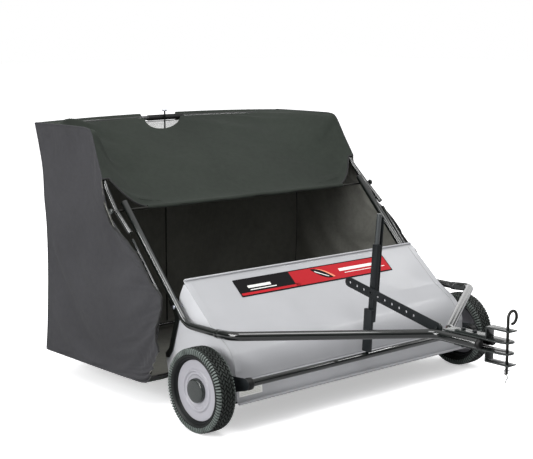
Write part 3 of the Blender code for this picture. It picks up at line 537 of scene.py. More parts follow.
# ------------------------------------------------------------------ camera, floor, light
def add_camera():
    yaw, pitch = radians(48.966), radians(9.238)     # from +X towards +Y, and downwards
    ahead = Vector((cos(yaw) * cos(pitch), sin(yaw) * cos(pitch), -sin(pitch)))
    right = Vector((sin(yaw), -cos(yaw), 0))
    up = right.cross(ahead)
    place = Vector((-3.3124, -3.3250 + AXLE_Y, 1.4031))
    data = bpy.data.cameras.new("camera")
    camera = bpy.data.objects.new("camera", data)
    scene.collection.objects.link(camera)
    turned = Matrix((right, up, -ahead)).transposed().to_4x4()
    camera.matrix_world = Matrix.Translation(place) @ turned
    data.sensor_width = 36
    data.lens = 84.194071
    data.shift_x = 0.01182739
    data.shift_y = 0.00303565
    scene.camera = camera


def add_floor():
    """White floor that glows a little to the camera only, and lights the scene less."""
    mesh = bmesh.new()
    bmesh.ops.create_grid(mesh, x_segments=4, y_segments=4, size=40)
    data = bpy.data.meshes.new("floor")
    mesh.to_mesh(data)
    mesh.free()
    floor = bpy.data.objects.new("floor", data)
    scene.collection.objects.link(floor)
    shader = new_shader("floor_white")
    seen = shader.add("ShaderNodeLightPath").outputs["Is Camera Ray"]
    color = shader.mix(seen, (0.56, 0.56, 0.57, 1), (1.15, 1.15, 1.16, 1))
    diffuse = shader.add("ShaderNodeBsdfDiffuse", {"Color": color}).outputs[0]
    glow = shader.add("ShaderNodeEmission", {"Strength": 0.44}).outputs[0]
    both = shader.add("ShaderNodeAddShader", {0: diffuse, 1: glow}).outputs[0]
    pick = shader.add("ShaderNodeMixShader", {0: seen, 1: diffuse, 2: both}).outputs[0]
    shader.output(pick)
    data.materials.append(shader.owner)


# (height, brightness) stops; height is 0 straight down, 0.5 at the horizon and 1 overhead
SKY = ((0.42, 0.26), (0.52, 0.20), (0.62, 0.42), (0.72, 0.50), (0.86, 0.82), (1.0, 1.30))
SHINE = ((0.46, 0.05), (0.62, 0.05), (0.70, 0.22), (0.82, 0.42), (0.90, 0.95), (1.0, 1.20))


def height_ramp(shader, height, below, stops, blue=1.0):
    """Brightness by height: below is the value at 0, blue a gain on the blue channel."""
    node = shader.add("ShaderNodeValToRGB", {"Fac": height})
    elements = node.color_ramp.elements
    for position, value in stops:
        elements.new(position).color = (value, value, value * blue, 1)
    elements[0].color = (below, below, below, 1)
    elements.remove(elements[-1])      # two stops share position 1.0
    return node.outputs["Color"]


def add_world():
    """White to the camera, a dim sky for diffuse light, a steeper one for reflections."""
    world = bpy.data.worlds.new("studio")
    shader = Shader(world)
    background = shader.tree.nodes["Background"]
    background.inputs["Strength"].default_value = 1.0
    direction = shader.add("ShaderNodeTexCoord").outputs["Generated"]
    z = shader.add("ShaderNodeSeparateXYZ", {0: direction}).outputs["Z"]
    height = shader.math("MULTIPLY_ADD", z, 0.5, 0.5)
    sky = height_ramp(shader, height, below=0.30, stops=SKY, blue=1.01)
    rays = shader.add("ShaderNodeLightPath").outputs
    shine = height_ramp(shader, height, below=0.20, stops=SHINE)
    by_ray = shader.mix(rays["Is Glossy Ray"], sky, shine)
    shader.feed(background.inputs["Color"], shader.mix(rays["Is Camera Ray"], by_ray, WHITE))
    scene.world = world


def area(name, place, target, size, power, size_y=None):
    """Area light aimed at target; size_y makes it a rectangle."""
    data = bpy.data.lights.new(name, "AREA")
    data.energy = power
    data.size = size
    if size_y:
        data.shape = "RECTANGLE"
        data.size_y = size_y
    lamp = bpy.data.objects.new(name, data)
    scene.collection.objects.link(lamp)
    place, target = (Vector(p) + Vector((0, AXLE_Y, 0)) for p in (place, target))
    lamp.location = place
    lamp.rotation_euler = (target - place).to_track_quat("-Z", "Y").to_euler()
    return lamp


def reflection(name, place, size, power, size_y):
    """Rectangle that neither the camera nor diffuse surfaces see."""
    lamp = area(name, place, (0, 0, 0.4), size, power, size_y)
    lamp.visible_diffuse = False
    lamp.visible_camera = False


add_camera()
add_floor()
add_world()
area("key", (-0.9, -1.2, 4.2), (0, 0.1, 0.3), size=2.0, power=75)
area("fill_left", (-4.6, -0.3, 1.9), (0, 0.4, 0.45), size=2.2, power=138)
area("fill_right", (4.8, -1.0, 2.2), (0, 0.3, 0.45), size=2.4, power=34)
area("fill_back", (1.2, 5.4, 2.4), (0, 0.6, 0.5), size=2.6, power=34)
# thin strips that draw the highlight lines, and a soft backdrop behind
reflection("line_left", (-3.8, 0.1, 3.0), size=3.6, power=95, size_y=0.26)
reflection("line_right", (2.8, -1.4, 3.2), size=3.6, power=45, size_y=0.22)
reflection("backdrop", (4.6, 4.9, 1.1), size=7.5, power=62, size_y=2.4)
scene.view_settings.view_transform = "Standard"

# ------------------------------------------------------------------ wheels
WHEEL_X, WHEEL_Z = 0.693, 0.1525
# Wheel profiles: (distance outward from the wheel's mid plane, radius)
CARCASS = [(0.0300, 0.1156), (0.0318, 0.1185), (0.0350, 0.1215), (0.0368, 0.1228),
           (0.0374, 0.1245), (0.0368, 0.1262), (0.0352, 0.1278), (0.0346, 0.1330),
           (0.0345, 0.1400), (0.0338, 0.1440), (0.0318, 0.1462), (0.0270, 0.1470), (0.0, 0.1474)]
GROOVE_SHADE_RADIUS = 0.1285     # the carcass takes near-black painted groove shade outside this
RIB = [(0.0340, 0.1290), (0.0372, 0.1310), (0.0376, 0.1400), (0.0368, 0.1462), (0.0330, 0.1500),
       (0.0302, 0.1508), (0.0290, 0.1455), (0.0325, 0.1430), (0.0335, 0.1400), (0.0335, 0.1320)]
WELL_LIP = [(0.0300, 0.1154), (0.0335, 0.1175), (0.0345, 0.1195), (0.0330, 0.1198),
            (0.0300, 0.1180), (0.0180, 0.1110)]
WELL_INSIDE = [(0.0160, 0.1080), (0.0160, 0.1060), (0.0060, 0.1060), (0.0020, 0.1120),
               (-0.0220, 0.1120), (-0.0300, 0.1154)]
DISH_FACE = [(0.0163, 0.1085), (0.0185, 0.1090), (0.0196, 0.1070), (0.0198, 0.0980),
             (0.0196, 0.0810), (0.0205, 0.0775), (0.0232, 0.0750), (0.0240, 0.0715),
             (0.0228, 0.0685), (0.0196, 0.0665), (0.0190, 0.0640), (0.0200, 0.0610),
             (0.0196, 0.0580), (0.0170, 0.0545), (0.0160, 0.0500), (0.0160, 0.0300)]
DISH_BACK = [(0.0120, 0.0086), (-0.0562, 0.0086), (-0.0562, 0.0220), (0.0040, 0.0260),
             (0.0080, 0.0600), (0.0120, 0.1040)]
CAP_BASE = [(0.0163, 0.0), (0.0163, 0.0440)]
CAP_FACE = [(0.0180, 0.0446), (0.0275, 0.0430), (0.0310, 0.0405), (0.0326, 0.0330),
            (0.0334, 0.0180), (0.0336, 0.0)]


def wheel_point(sign, along, radius, angle):
    return Vector((sign * (WHEEL_X + along), radius * cos(angle), WHEEL_Z + radius * sin(angle)))


def wheel_turned(name, sign, side, profile, segments, material, sharp, **told):
    mesh = lathe(profile, (sign * WHEEL_X, 0, WHEEL_Z), segments, flip=sign)
    return add_part(name + side, mesh, material, side + "_wheel", sharp=sharp, **told)


def tyre_carcass(sign, side):
    profile = CARCASS + [(-along, radius) for along, radius in CARCASS[-2::-1]]
    tyre = wheel_turned("tyre_carcass_", sign, side, profile[::-1], 120, "tire_rubber", 50,
                        stands_for="tire_" + side)
    # carcass faces outside the groove radius take the painted groove shade
    tyre.data.materials.append(MAT["groove_shade_rubber"])
    for face in tyre.data.polygons:
        if hypot(face.center.y - AXLE_Y, face.center.z - WHEEL_Z) > GROOVE_SHADE_RADIUS:
            face.material_index = 1


def tread_blocks(sign, side):
    """Five rows of slanted blocks; odd rows are staggered and slant the other way."""
    pitch = 2 * pi / 56
    half_width, half_angle = 0.0050, pitch * 0.31
    taper = 0.10               # how far a block's top corners draw in to its middle
    mesh = bmesh.new()
    for row in range(5):
        middle = (row - 2) * 0.0120
        skew = (0.32 if row % 2 else -0.32) * pitch
        top = 0.1524 - 0.0006 * abs(row - 2) ** 1.4 / 2
        for k in range(56):
            angle = (k + (0.5 if row % 2 else 0.0)) * pitch
            corners = [(middle + across * half_width,
                        angle + around * half_angle + across * skew)
                       for across, around in ((-1, -1), (1, -1), (1, 1), (-1, 1))]
            foot = [wheel_point(sign, along, 0.1460, turn) for along, turn in corners]
            head = [wheel_point(sign, along + (middle - along) * taper, top,
                                turn + (angle - turn) * taper) for along, turn in corners]
            loft([foot, head], mesh)
    # the blocks use the lighter rubber, painted light on their tops
    add_part("tread_blocks_" + side, mesh, "block_rubber_lit", side + "_wheel", "tire_rubber",
             sharp=None)


def side_ribs(sign, side):
    """Ribs round both shoulders of the tyre, in a lighter rubber that paints their highlight."""
    pitch = 2 * pi / 84
    mesh = bmesh.new()
    for shoulder in (-1, 1):
        for k in range(84):
            loft([[wheel_point(sign, shoulder * along, radius, k * pitch + edge * pitch * 0.25)
                   for along, radius in RIB] for edge in (-1, 1)], mesh)
    add_part("side_ribs_" + side, mesh, "rib_rubber_lit", side + "_wheel", "tire_rubber", sharp=None)


def wheel(sign, side):
    tyre_carcass(sign, side)
    tread_blocks(sign, side)
    side_ribs(sign, side)
    # inner well of the rim, near-black: painted shade of the recess between bead and disc
    wheel_turned("rim_well_", sign, side, smooth_line(WELL_LIP, per=3) + WELL_INSIDE, 96,
                 "well_shade_black", 40, slot="cap_black")
    # dished grey disc with two pressed rings
    wheel_turned("dish_", sign, side, smooth_line(DISH_FACE, per=3) + DISH_BACK, 96,
                 "disc_grey", 35, stands_for="wheel_disc_" + side)
    wheel_turned("cap_", sign, side, CAP_BASE + smooth_line(CAP_FACE, per=4), 72,
                 "cap_black", 40, stands_for="hub_cap_" + side)


for sign, side in SIDES:
    wheel(sign, side)

# ------------------------------------------------------------------ housing
# Cover section, (y, z), from the top rear edge forward and down to the hem
PANEL_TOP, PANEL_FOOT = (0.195, 0.487), (0.044, 0.356)      # the flat upper panel
NOSE_FOOT = (-0.088, 0.208)
CURVE = smooth_line([PANEL_TOP, PANEL_FOOT, (0.004, 0.3315), (-0.037, 0.306), (-0.060, 0.284),
                     (-0.074, 0.262), (-0.083, 0.238), NOSE_FOOT], per=4, sharp=(1,))
COVER = ([(0.2045, 0.5005), (0.2032, 0.4975), (0.1985, 0.4905)] + CURVE
         + [(-0.0895, 0.188), (-0.0868, 0.184), (-0.0905, 0.180), (-0.0975, 0.116),
            (-0.0995, 0.108), (-0.1035, 0.1040), (-0.1085, 0.1035), (-0.1120, 0.1055),
            (-0.1125, 0.1085), (-0.1105, 0.1105)])


def sheet_outline(line, thickness):
    """Closed outline of a line thickened to one side, mitred at its corners."""
    points = [Vector(p) for p in line]
    steps = [(after - here).normalized() for here, after in zip(points, points[1:])]
    offset = []
    for i, point in enumerate(points):
        near = steps[max(0, i - 1):i + 1]
        normals = [Vector((step.y, -step.x)) for step in near]
        normal = sum(normals, Vector((0, 0))).normalized()
        offset.append(point + normal * thickness / max(0.5, normal.dot(normals[0])))
    return [tuple(p) for p in points] + [tuple(p) for p in reversed(offset)]


def housing_sheet(name, outline, stations, stands_for=None):
    """Extrude a (y, z) outline through x stations."""
    mesh = loft([[(x, y, z) for y, z in outline] for x in stations])
    part = add_part(name, mesh, "grey_sheet", "chassis", stands_for=stands_for, sharp=30)
    bevel(part, width=0.0006, degrees=50)


def edge_flange(sign, side):
    """Thin strip laid over each end of the curved cover."""
    line = CURVE[:-1]
    inside, outside = [], []
    for i, (y, z) in enumerate(line):
        before, after = line[max(0, i - 1)], line[min(len(line) - 1, i + 1)]
        along = Vector((after[0] - before[0], after[1] - before[1])).normalized()
        for points, lift in ((inside, 0.0003), (outside, 0.0019)):
            points.append((y + along.y * lift, z - along.x * lift))
    ends = sorted((sign * (HOUSING_HALF + 0.0004), sign * (HOUSING_HALF - 0.0262)))
    housing_sheet("edge_flange_" + side, inside + outside[::-1], ends)


housing_sheet("cover_shell", sheet_outline(COVER, -0.0018),
              (-HOUSING_HALF, -0.3, 0.0, 0.3, HOUSING_HALF), stands_for="housing_cover")
for sign, side in SIDES:
    edge_flange(sign, side)
LIP_HALF = HOUSING_HALF - 0.004
tube("rolled_lip", [(-LIP_HALF, 0.2030, 0.5005), (LIP_HALF, 0.2030, 0.5005)], 0.0042,
     "grey_sheet", "chassis", segments=16)


# ------------------------------------------------------------------ stickers
def on_panel(top, foot):
    """Placer on a flat panel of the cover: x across, down from top, height off the sheet."""
    origin = Vector((0, *top))
    along = (Vector((0, *foot)) - origin).normalized()
    outward = Vector((0, along.z, -along.y))
    return lambda x, down, height: (origin + along * down + outward * (0.0007 + height)
                                    + Vector((x, 0, 0)))


def sticker(name, place, outline, material, height):
    rings = [[place(x, down, level) for x, down in outline]
             for level in (height, height + 0.00025)]
    add_part(name, loft(rings), material, "chassis", "grey_sheet", sharp=None)


def rounded(x0, top, x1, foot, radius=0.004, steps=5):
    """Rectangle with rounded corners, as (x, down) points."""
    corners = ((x1 - radius, top + radius, -90), (x1 - radius, foot - radius, 0),
               (x0 + radius, foot - radius, 90), (x0 + radius, top + radius, 180))
    outline = []
    for x, down, start in corners:
        for i in range(steps + 1):
            angle = radians(start + 90 * i / steps)
            outline.append((x + radius * cos(angle), down + radius * sin(angle)))
    return outline


def leaf_edge(ts, bulge):
    return [(-0.012 + 0.094 * t, 0.0300 + 0.052 * t + bulge * sin(pi * t) ** 0.8) for t in ts]


LEAF = leaf_edge(np.linspace(0, 1, 13), -0.016) + leaf_edge(np.linspace(1, 0, 13)[1:-1], 0.018)
GLOW = [(x + 0.012, down * 0.92 + 0.004) for x, down in LEAF]
STRIPE = [(-0.396, 0.0845), (-0.1250, 0.0845), (-0.1200, 0.0800), (-0.1000, 0.0800),
          (-0.1000, 0.0950), (-0.395, 0.0950)]
VEIN = [(0.004, 0.0400), (0.062, 0.0735), (0.060, 0.0765), (0.004, 0.0460)]
# (name, (x, down) outline, material, height in the stack)
DECALS = [
    ("decal_base", rounded(-0.402, 0.0190, 0.408, 0.1010), "decal_black", 0.0),
    ("decal_field", rounded(-0.1220, 0.0235, 0.4035, 0.0950, 0.003), "decal_red", 0.0003),
    ("decal_stripe", STRIPE, "decal_red", 0.0003),
    ("decal_glow", GLOW, "decal_amber", 0.0005),
    ("decal_leaf", LEAF, "decal_black", 0.0007),
    ("decal_vein", VEIN, "decal_white", 0.0009),
    ("decal_bar_1", rounded(-0.350, 0.0530, -0.236, 0.0650, 0.002), "decal_white", 0.0003),
    ("decal_bar_2", rounded(-0.345, 0.0720, -0.215, 0.0760, 0.001), "decal_white", 0.0003),
    ("decal_bar_3", rounded(0.130, 0.0470, 0.360, 0.0610, 0.002), "decal_white", 0.0006),
    ("decal_bar_4", rounded(0.150, 0.0700, 0.380, 0.0730, 0.001), "decal_white", 0.0006),
]
upper_panel = on_panel(PANEL_TOP, PANEL_FOOT)
for name, outline, material, height in DECALS:
    sticker(name, upper_panel, outline, material, height)
lower_panel = on_panel(NOSE_FOOT, (-0.098, 0.112))
sticker("plain_sticker", lower_panel, rounded(-0.600, 0.0540, -0.492, 0.0820, 0.002),
        "decal_white", 0.0)
for k in range(4):
    down = 0.0052 * k
    sticker("plain_rule_%d" % k, lower_panel,
            rounded(-0.592, 0.0590 + down, -0.500, 0.0602 + down, radius=0.0004, steps=2),
            "decal_grey", 0.0003)

# ------------------------------------------------------------------ hopper bag: grid
# The skin runs as one strip: canopy from the front hem up and back, rear wall down, floor
# forward. Stations are (y, z) where the strip meets the side panels.
RISE = [(0.620, 0.838), (0.667, 0.919), (0.716, 1.007), (0.752, 1.0225), (0.805, 1.0240),
        (0.940, 1.0240), (1.1280, 1.0225)]
REAR = [(1.1280, 1.0225), (1.085, 0.936), (1.044, 0.840), (1.018, 0.720), (1.005, 0.602),
        (1.004, 0.450), (1.012, 0.300), (1.022, 0.180), (1.034, 0.0960)]
FLOOR = [(1.034, 0.0960), (0.800, 0.0960), (0.600, 0.0960), (0.447, 0.0975), (0.348, 0.1010),
         (0.315, 0.1200)]
# free front edge of each side panel, top to bottom
EDGE = [(0.597, 0.741), (0.546, 0.671), (0.468, 0.634), (0.374, 0.568), (0.301, 0.489),
        (0.237, 0.443), (0.248, 0.370), (0.274, 0.314), (0.267, 0.263), (0.258, 0.234)]
N_RISE, N_REAR, N_FLOOR = 44, 34, 26      # rows in each run of the strip
N_ACROSS, N_SIDE = 64, 24                 # cells across the strip, and into a side panel
REAR_ROW, FLOOR_ROW = N_RISE, N_RISE + N_REAR
N_ROWS = N_RISE + N_REAR + N_FLOOR
BAG_TOP = 1.0225


def bag_line(stations, count):
    """count + 1 evenly spaced points on a smoothed line, and each one's index along it."""
    points = np.array(smooth_line(stations, per=6), float)
    run = np.concatenate([[0], np.cumsum(np.linalg.norm(np.diff(points, axis=0), axis=1))])
    at = np.linspace(0, run[-1], count + 1)
    spaced = np.stack([np.interp(at, run, points[:, 0]), np.interp(at, run, points[:, 1])], 1)
    return spaced, np.interp(at, run, np.arange(len(points)))


rise_line, rise_index = bag_line(RISE, N_RISE)
rise_station = rise_index / rise_index[-1] * (len(RISE) - 1)
strip_line = np.concatenate([rise_line, bag_line(REAR, N_REAR)[0][1:],
                             bag_line(FLOOR, N_FLOOR)[0][1:]])
edge_line = bag_line(EDGE, N_ROWS)[0]
# places across the strip, -1 to 1, closer together towards the sides
ACROSS = np.sin(np.linspace(-1, 1, N_ACROSS + 1) * pi / 2 * 0.80) / sin(pi / 2 * 0.80)


def side_x(z):
    """Half width of the bag, leaning in above the pivot."""
    return 0.6868 - 0.0310 * np.maximum(0.0, (z - PIVOT_Z) / (BAG_TOP - PIVOT_Z))


def crown(x, y, z):
    """The bowed rear bar takes the cloth up with it."""
    back = min(1.0, max(0.0, (y - 0.74) / 0.36))
    high = min(1.0, max(0.0, (z - 0.70) / 0.31))
    return bow(x) * back ** 2 * high ** 2


def strip_point(row, across):
    """Point of the strip: the side line, blended to a mid line away from the sides."""
    y, z = strip_line[row]
    x = across * side_x(z)
    if row <= REAR_ROW:
        edge = 1 - min(1.0, max(0.0, (0.955 - abs(across)) / 0.20))
        blend = 1 - edge * edge
        station = rise_station[row]
        if station > 5:
            mid_y, mid_z = 1.0800 + 0.0480 * (station - 5), 1.0195 + 0.0030 * (station - 5)
        else:
            t = station / 5
            mid_y, mid_z = 0.5490 + 0.5310 * t, 0.7260 + 0.2935 * t + 0.012 * sin(pi * t)
        y, z = y + (mid_y - y) * blend, z + (mid_z - z) * blend
    else:
        if row < FLOOR_ROW:
            mid_y = 1.128 - 0.026 * (BAG_TOP - z) / 0.925
        else:
            mid_y = y + (1.102 - 1.034) * max(0.0, 1 - (row - FLOOR_ROW) / N_FLOOR * 2.5)
        y = y + (mid_y - y) * (1 - abs(across) ** 2.2)
    return (x, y, z + crown(x, y, z))


def strip_id(row, column):
    return row * (N_ACROSS + 1) + column


# A tag is (part, row, place): part 0 is the strip, with place across it from -1 to 1;
# parts -1 and 1 are the sides, with place 0 at the strip and 1 at the free edge.
points, tags, side_ids = [], [], {}
for row in range(N_ROWS + 1):
    for across in ACROSS:
        points.append(strip_point(row, across))
        tags.append((0, row, across))
for sign in (-1, 1):
    for row in range(N_ROWS + 1):
        for k in range(1, N_SIDE + 1):
            inward = k / N_SIDE
            y, z = strip_line[row] * (1 - inward) + edge_line[row] * inward
            side_ids[sign, row, k] = len(points)
            points.append((sign * side_x(z), y, z))
            tags.append((sign, row, inward))
rest = np.array(points)


def side_row(sign, row):
    seam = strip_id(row, 0 if sign < 0 else N_ACROSS)
    return [seam] + [side_ids[sign, row, k] for k in range(1, N_SIDE + 1)]


faces, face_materials = [], []
for row in range(N_ROWS):
    for k in range(N_ACROSS):
        faces.append((strip_id(row, k), strip_id(row + 1, k), strip_id(row + 1, k + 1),
                      strip_id(row, k + 1)))
        face_materials.append(0)
    for sign in (-1, 1):
        here, below = side_row(sign, row), side_row(sign, row + 1)
        for k in range(N_SIDE):
            quad = (here[k], here[k + 1], below[k + 1], below[k])
            faces.append(quad if sign < 0 else quad[::-1])
            face_materials.append(1)

strip = np.array([tag[0] for tag in tags]) == 0
rows = np.array([tag[1] for tag in tags], float)
places = np.array([tag[2] for tag in tags], float)


def cloth_mesh(name, coords):
    data = bpy.data.meshes.new(name)
    data.from_pydata(coords.tolist(), [], faces)
    return data


# ------------------------------------------------------------------ hopper bag: cloth
def settle():
    """Let the cloth sag between its held seams; returns the new places."""
    held_strip = ((np.abs(places) > 0.999)
                  | np.isin(rows, (0, REAR_ROW, FLOOR_ROW, N_ROWS)))
    held_side = ((places > 0.999) | np.isin(rows, (0, N_ROWS))
                 | ((rows < REAR_ROW) & (places < 0.06)))
    held = np.where(strip, held_strip, held_side)
    cloth_object = bpy.data.objects.new("bag_sim", cloth_mesh("bag_sim", rest))
    scene.collection.objects.link(cloth_object)
    group = cloth_object.vertex_groups.new(name="pin")
    for index in np.flatnonzero(held):
        group.add([int(index)], 1.0, "REPLACE")
    cloth = cloth_object.modifiers.new("cloth", "CLOTH")
    settings = cloth.settings
    settings.quality = 5
    settings.mass = 0.25
    settings.tension_stiffness = settings.compression_stiffness = 18
    settings.shear_stiffness = 8
    settings.bending_stiffness = 0.6
    settings.shrink_min = -0.012
    settings.vertex_group_mass = "pin"
    settings.effector_weights.gravity = 0.5
    cloth.collision_settings.use_collision = False
    cloth.point_cache.frame_start, cloth.point_cache.frame_end = 1, 18
    for number in range(1, 19):
        scene.frame_set(number)
    evaluated = cloth_object.evaluated_get(bpy.context.evaluated_depsgraph_get())
    settled = evaluated.to_mesh()
    coords = np.empty(len(settled.vertices) * 3)
    settled.vertices.foreach_get("co", coords)
    evaluated.to_mesh_clear()
    bpy.data.objects.remove(cloth_object, do_unlink=True)
    scene.frame_set(1)
    move = coords.reshape(-1, 3) - rest
    length = np.linalg.norm(move, axis=1, keepdims=True)
    limit = 0.014              # no point moves further than this
    return rest + move * (limit * np.tanh(length / limit) / np.maximum(length, 1e-9))


# Tension folds on the canopy: start, end, width, height. Ends are (across, t), with t 0 at
# the hem and 1 at the back edge.
FOLDS = [
    ((0.08, 0.90), (0.62, 0.74), 0.030, 0.0045), ((0.18, 0.80), (0.80, 0.62), 0.030, -0.0040),
    ((0.30, 0.74), (0.92, 0.50), 0.035, 0.0045), ((0.10, 0.62), (0.78, 0.34), 0.050, 0.0040),
    ((0.36, 0.45), (0.88, 0.20), 0.040, -0.0040), ((-0.97, 0.84), (-0.62, 0.60), 0.026, 0.0120),
    ((-0.90, 0.66), (-0.42, 0.34), 0.040, -0.0050), ((-0.70, 0.88), (-0.20, 0.74), 0.040, 0.0035),
    ((-0.55, 0.45), (-0.05, 0.22), 0.050, 0.0035), ((-0.35, 0.93), (-0.05, 0.62), 0.045, -0.0035),
]
FOLD_GAIN = 2.3


def fold(start, end, width, height):
    """A soft ridge over the canopy."""
    start, end = np.array(start), np.array(end)
    offset = np.stack([places, rows / REAR_ROW], 1) - start
    span = end - start
    along = np.clip(offset @ span / (span @ span), 0, 1)
    distance = np.linalg.norm(offset - along[:, None] * span, axis=1)
    ridge = height * np.exp(-(distance / width) ** 2) * np.sin(pi * np.clip(along, 0.03, 0.97))
    return np.where(strip & (rows <= REAR_ROW), ridge, 0)


def canopy_folds():
    """The folds, faded out at the seams, hem and back edge."""
    ease = (np.clip((0.97 - np.abs(places)) / 0.12, 0, 1) * np.clip(rows / 5, 0, 1)
            * np.clip((REAR_ROW - rows) / 6, 0, 1))
    return sum(fold(*entry) for entry in FOLDS) * FOLD_GAIN * np.where(strip, -ease, 0)


def edge_gathers():
    """Ripples along the bound free edges of the side panels."""
    rng = np.random.default_rng(7)
    run = rows * 2.28 / N_ROWS
    ripple = sum(rng.uniform(0.4, 1.0) * np.sin(run * rate + rng.uniform(0, 6.3))
                 for rate in (23.0, 37.0, 61.0, 83.0)) / 2.2
    near_edge = np.where(~strip, np.exp(-((1 - places) / 0.16)), 0)
    return 0.0042 * ripple * near_edge * np.where(places < 0.999, 1, 0.5)


def side_waves(y, z):
    """Side panels: pleats at the lower front corner, a broad bulge and soft waves."""
    corner = np.exp(-(((y - 0.36) / 0.075) ** 2 + ((z - 0.15) / 0.085) ** 2))
    pleats = 0.0120 * np.sin((y - 0.42 * z) * 205) * corner
    bulge = (0.0060 * np.exp(-((places - 0.35) / 0.3) ** 2)
             * np.sin(pi * np.clip((rows - 12) / (N_ROWS - 24), 0, 1)))
    waves = (np.sin(y * 9.0 + z * 14.0 + 0.8) * 0.0022 + np.sin(y * 21.0 - z * 9.0) * 0.0012)
    waves = waves * np.clip((1 - places) / 0.1, 0, 1) * np.clip(places / 0.15, 0, 1)
    return np.where(~strip, pleats + bulge + waves, 0)


def creased(first, second):
    """Whether the edge between two points lies on a side seam or a fold of the strip."""
    if not (strip[first] and strip[second]):
        return False
    on_seam = abs(places[first]) > 0.999 and abs(places[second]) > 0.999
    return on_seam or (rows[first] == rows[second] and rows[first] in (REAR_ROW, FLOOR_ROW))


settled_points = settle()
plain = cloth_mesh("hopper_cloth", settled_points)
normals = np.empty(len(settled_points) * 3)
plain.vertices.foreach_get("normal", normals)
bpy.data.meshes.remove(plain)
lift = canopy_folds() + edge_gathers() + side_waves(settled_points[:, 1], settled_points[:, 2])
bag_points = settled_points + normals.reshape(-1, 3) * lift[:, None]

# ------------------------------------------------------------------ hopper bag: object
HOLE_LEFT, HOLE_RIGHT = -0.134, 0.062     # hand hole, across at the rear bar
HOLE_RIM = [(-0.036 + 0.098 * cos(turn) - 0.062 * sin(turn), 1.092 - 0.083 * sin(turn))
            for turn in np.linspace(0, pi, 33)]


def block(x0, x1, y0, y1):
    return [(x0, y0), (x1, y0), (x1, y1), (x0, y1)]


# half-moon hand hole open to the rear bar, the gap behind it, and a window in the rear wall:
# (name, (x, y) outline, low z, high z)
CUTS = [
    ("hand_cut", HOLE_RIM + [(HOLE_LEFT, 1.1100), (HOLE_RIGHT, 1.1100)], 0.93, 1.08),
    ("rear_cut", block(HOLE_LEFT + 0.002, HOLE_RIGHT - 0.002, 1.1050, 1.1700), 1.0015, 1.08),
    ("window_cut", block(-0.1300, 0.1300, 1.1120, 1.1700), 0.9350, 0.9985),
]


def add_cut(bag, name, outline, low, high):
    mesh = loft([[(x, y + AXLE_Y, z) for x, y in outline] for z in (low, high)])
    bmesh.ops.recalc_face_normals(mesh, faces=mesh.faces[:])
    data = bpy.data.meshes.new(name)
    mesh.to_mesh(data)
    mesh.free()
    cutter = bpy.data.objects.new(name, data)
    scene.collection.objects.link(cutter)
    cut = bag.modifiers.new(name, "BOOLEAN")
    cut.operation, cut.solver, cut.object = "DIFFERENCE", "EXACT", cutter
    return cutter


def baked(part):
    return bpy.data.meshes.new_from_object(
        part.evaluated_get(bpy.context.evaluated_depsgraph_get()))


def hopper_cloth():
    shift = np.array((0, AXLE_Y, 0), np.float32)
    data = cloth_mesh("hopper_cloth", bag_points.astype(np.float32) + shift)
    data.polygons.foreach_set("material_index", face_materials)
    # strip and sides on one face of the wall, then the same two on the other; the inside face takes
    # the lighter cloth, painted light that lifts the shade in the hopper
    for material in ("inner_cloth_painted_light", "inner_cloth_painted_light", "canopy_cloth", "bag_fabric"):
        data.materials.append(MAT[material])
    bag = bpy.data.objects.new("hopper_cloth", data)
    scene.collection.objects.link(bag)
    data.shade_smooth()
    crease = data.attributes.new("crease_edge", "FLOAT", "EDGE")
    for index, edge in enumerate(data.edges):
        if creased(*edge.vertices):
            crease.data[index].value = 0.75
    smooth = bag.modifiers.new("sub", "SUBSURF")
    smooth.levels = smooth.render_levels = 1
    wall = bag.modifiers.new("wall", "SOLIDIFY")
    wall.thickness, wall.offset, wall.material_offset = 0.0018, -1.0, 2
    cutters = [add_cut(bag, *cut) for cut in CUTS]
    done = baked(bag)
    # a whole wall has over six faces per cloth face: a cut that lost the cloth is left out
    for cut in [m for m in bag.modifiers if m.type == "BOOLEAN"][::-1]:
        if len(done.polygons) > 6 * len(data.polygons):
            break
        bag.modifiers.remove(cut)
        done = baked(bag)
    bag.modifiers.clear()
    bag.data = done
    shade(done, sharp=50)
    for cutter in cutters:
        bpy.data.objects.remove(cutter, do_unlink=True)
    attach(bag, "hopper")
    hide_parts("hopper_bag")


hopper_cloth()


# ------------------------------------------------------------------ bindings and trim
def cord(name, line, radius, segments, cap, material="binding", slot="bag_fabric"):
    tube(name, line, radius, material, "hopper", segments=segments, cap=cap, slot=slot)


def strip_vector(row, column):
    return Vector(bag_points[strip_id(row, column)])


def side_trim(sign, side):
    cord("edge_binding_" + side,
         [Vector(bag_points[side_ids[sign, row, N_SIDE]]) for row in range(N_ROWS + 1)],
         0.0042, segments=10, cap=0.001)
    column = 0 if sign < 0 else N_ACROSS
    cord("side_piping_" + side,
         [strip_vector(row, column) + Vector((sign * 0.0010, 0, 0)) for row in range(N_ROWS + 1)],
         0.0028, segments=8, cap=0.0005, material="bag_fabric")
    columns = [k for k, across in enumerate(ACROSS) if across * sign >= 0.76][::sign]
    cord("corner_binding_" + side, [strip_vector(0, k) for k in columns],
         0.0036, segments=10, cap=0.001)


def canopy_trim():
    """Floor binding, the sleeve round the pivot rod and the stitched hem."""
    cord("floor_binding", [strip_vector(N_ROWS, k) for k in range(N_ACROSS + 1)],
         0.0042, segments=10, cap=0.001)
    cord("rod_sleeve",
         [(x, 0.5365 + 0.0006 * sin(x * 31), 0.7250 + 0.0007 * sin(x * 23 + 1))
          for x in np.linspace(-0.526, 0.526, 60)],
         0.0088, segments=20, cap=0.002, material="canopy_cloth")
    cord("hem_stitch",
         [strip_vector(2, k) + Vector((0, 0, 0.0012))
          for k, across in enumerate(ACROSS) if abs(across) < 0.80],
         0.0010, segments=6, cap=0.0003, material="canopy_cloth")


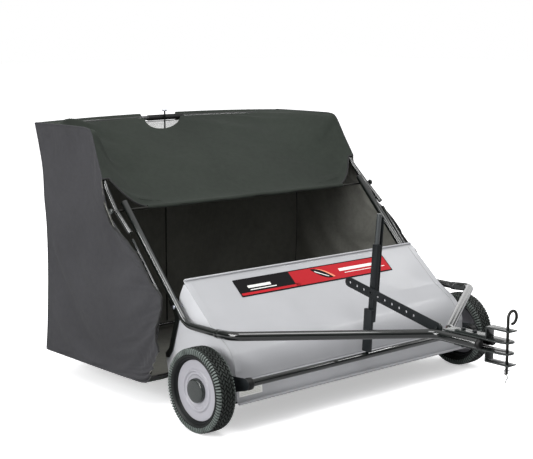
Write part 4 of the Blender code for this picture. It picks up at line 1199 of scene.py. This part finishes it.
bag_tree = BVHTree.FromPolygons([tuple(p) for p in bag_points], [list(f) for f in faces])


def wall_y(x, z):
    """Place of the rear wall; 1.126 stands in where the ray misses it."""
    hit = bag_tree.ray_cast(Vector((x, 1.075, z)), Vector((0, 1, 0)))[0]
    return hit.y if hit else 1.126


def window_panel():
    """Thin gauze sheet just in front of the rear wall."""
    xs, zs = np.linspace(-0.1330, 0.1330, 29), np.linspace(0.9320, 1.0000, 9)
    last_x, last_z = len(xs) - 1, len(zs) - 1
    mesh = bmesh.new()
    near, far = [[[mesh.verts.new((x, wall_y(x, z) - gap, z)) for x in xs] for z in zs]
                 for gap in (0.0022, 0.0016)]
    for grid in (near, far):
        for i in range(last_z):
            for k in range(last_x):
                mesh.faces.new((grid[i][k], grid[i][k + 1], grid[i + 1][k + 1], grid[i + 1][k]))
    rim = ([(0, k) for k in range(last_x)] + [(i, last_x) for i in range(last_z)]
           + [(last_z, k) for k in range(last_x, 0, -1)] + [(i, 0) for i in range(last_z, 0, -1)])
    for (i, k), (next_i, next_k) in zip(rim, rim[1:] + rim[:1]):
        mesh.faces.new((near[i][k], near[next_i][next_k], far[next_i][next_k], far[i][k]))
    add_part("window_panel", mesh, "window_cloth", "hopper", "bag_fabric")


def opening_trim():
    cord("window_binding",
         [(x, wall_y(x, 0.999) - 0.0015, 1.0000) for x in np.linspace(HOLE_LEFT, HOLE_RIGHT, 25)],
         0.0016, segments=8, cap=0.0004)
    hits = [bag_tree.ray_cast(Vector((x, y, 1.10)), Vector((0, 0, -1)))[0] for x, y in HOLE_RIM]
    # rim points that miss the cloth are skipped
    cord("hand_hole_binding", [hit + Vector((0, 0, -0.0008)) for hit in hits if hit],
         0.0014, segments=8, cap=0.0004, material="canopy_cloth")


for sign, side in SIDES:
    side_trim(sign, side)
canopy_trim()
window_panel()
opening_trim()
cord("rear_bar_grip",
     [(x, REAR_BAR_Y, REAR_BAR_Z + crown(x, 1.1, 1.01)) for x in np.linspace(-0.112, 0.078, 20)],
     0.0122, segments=24, cap=0.003, material="black_rubber", slot=None)
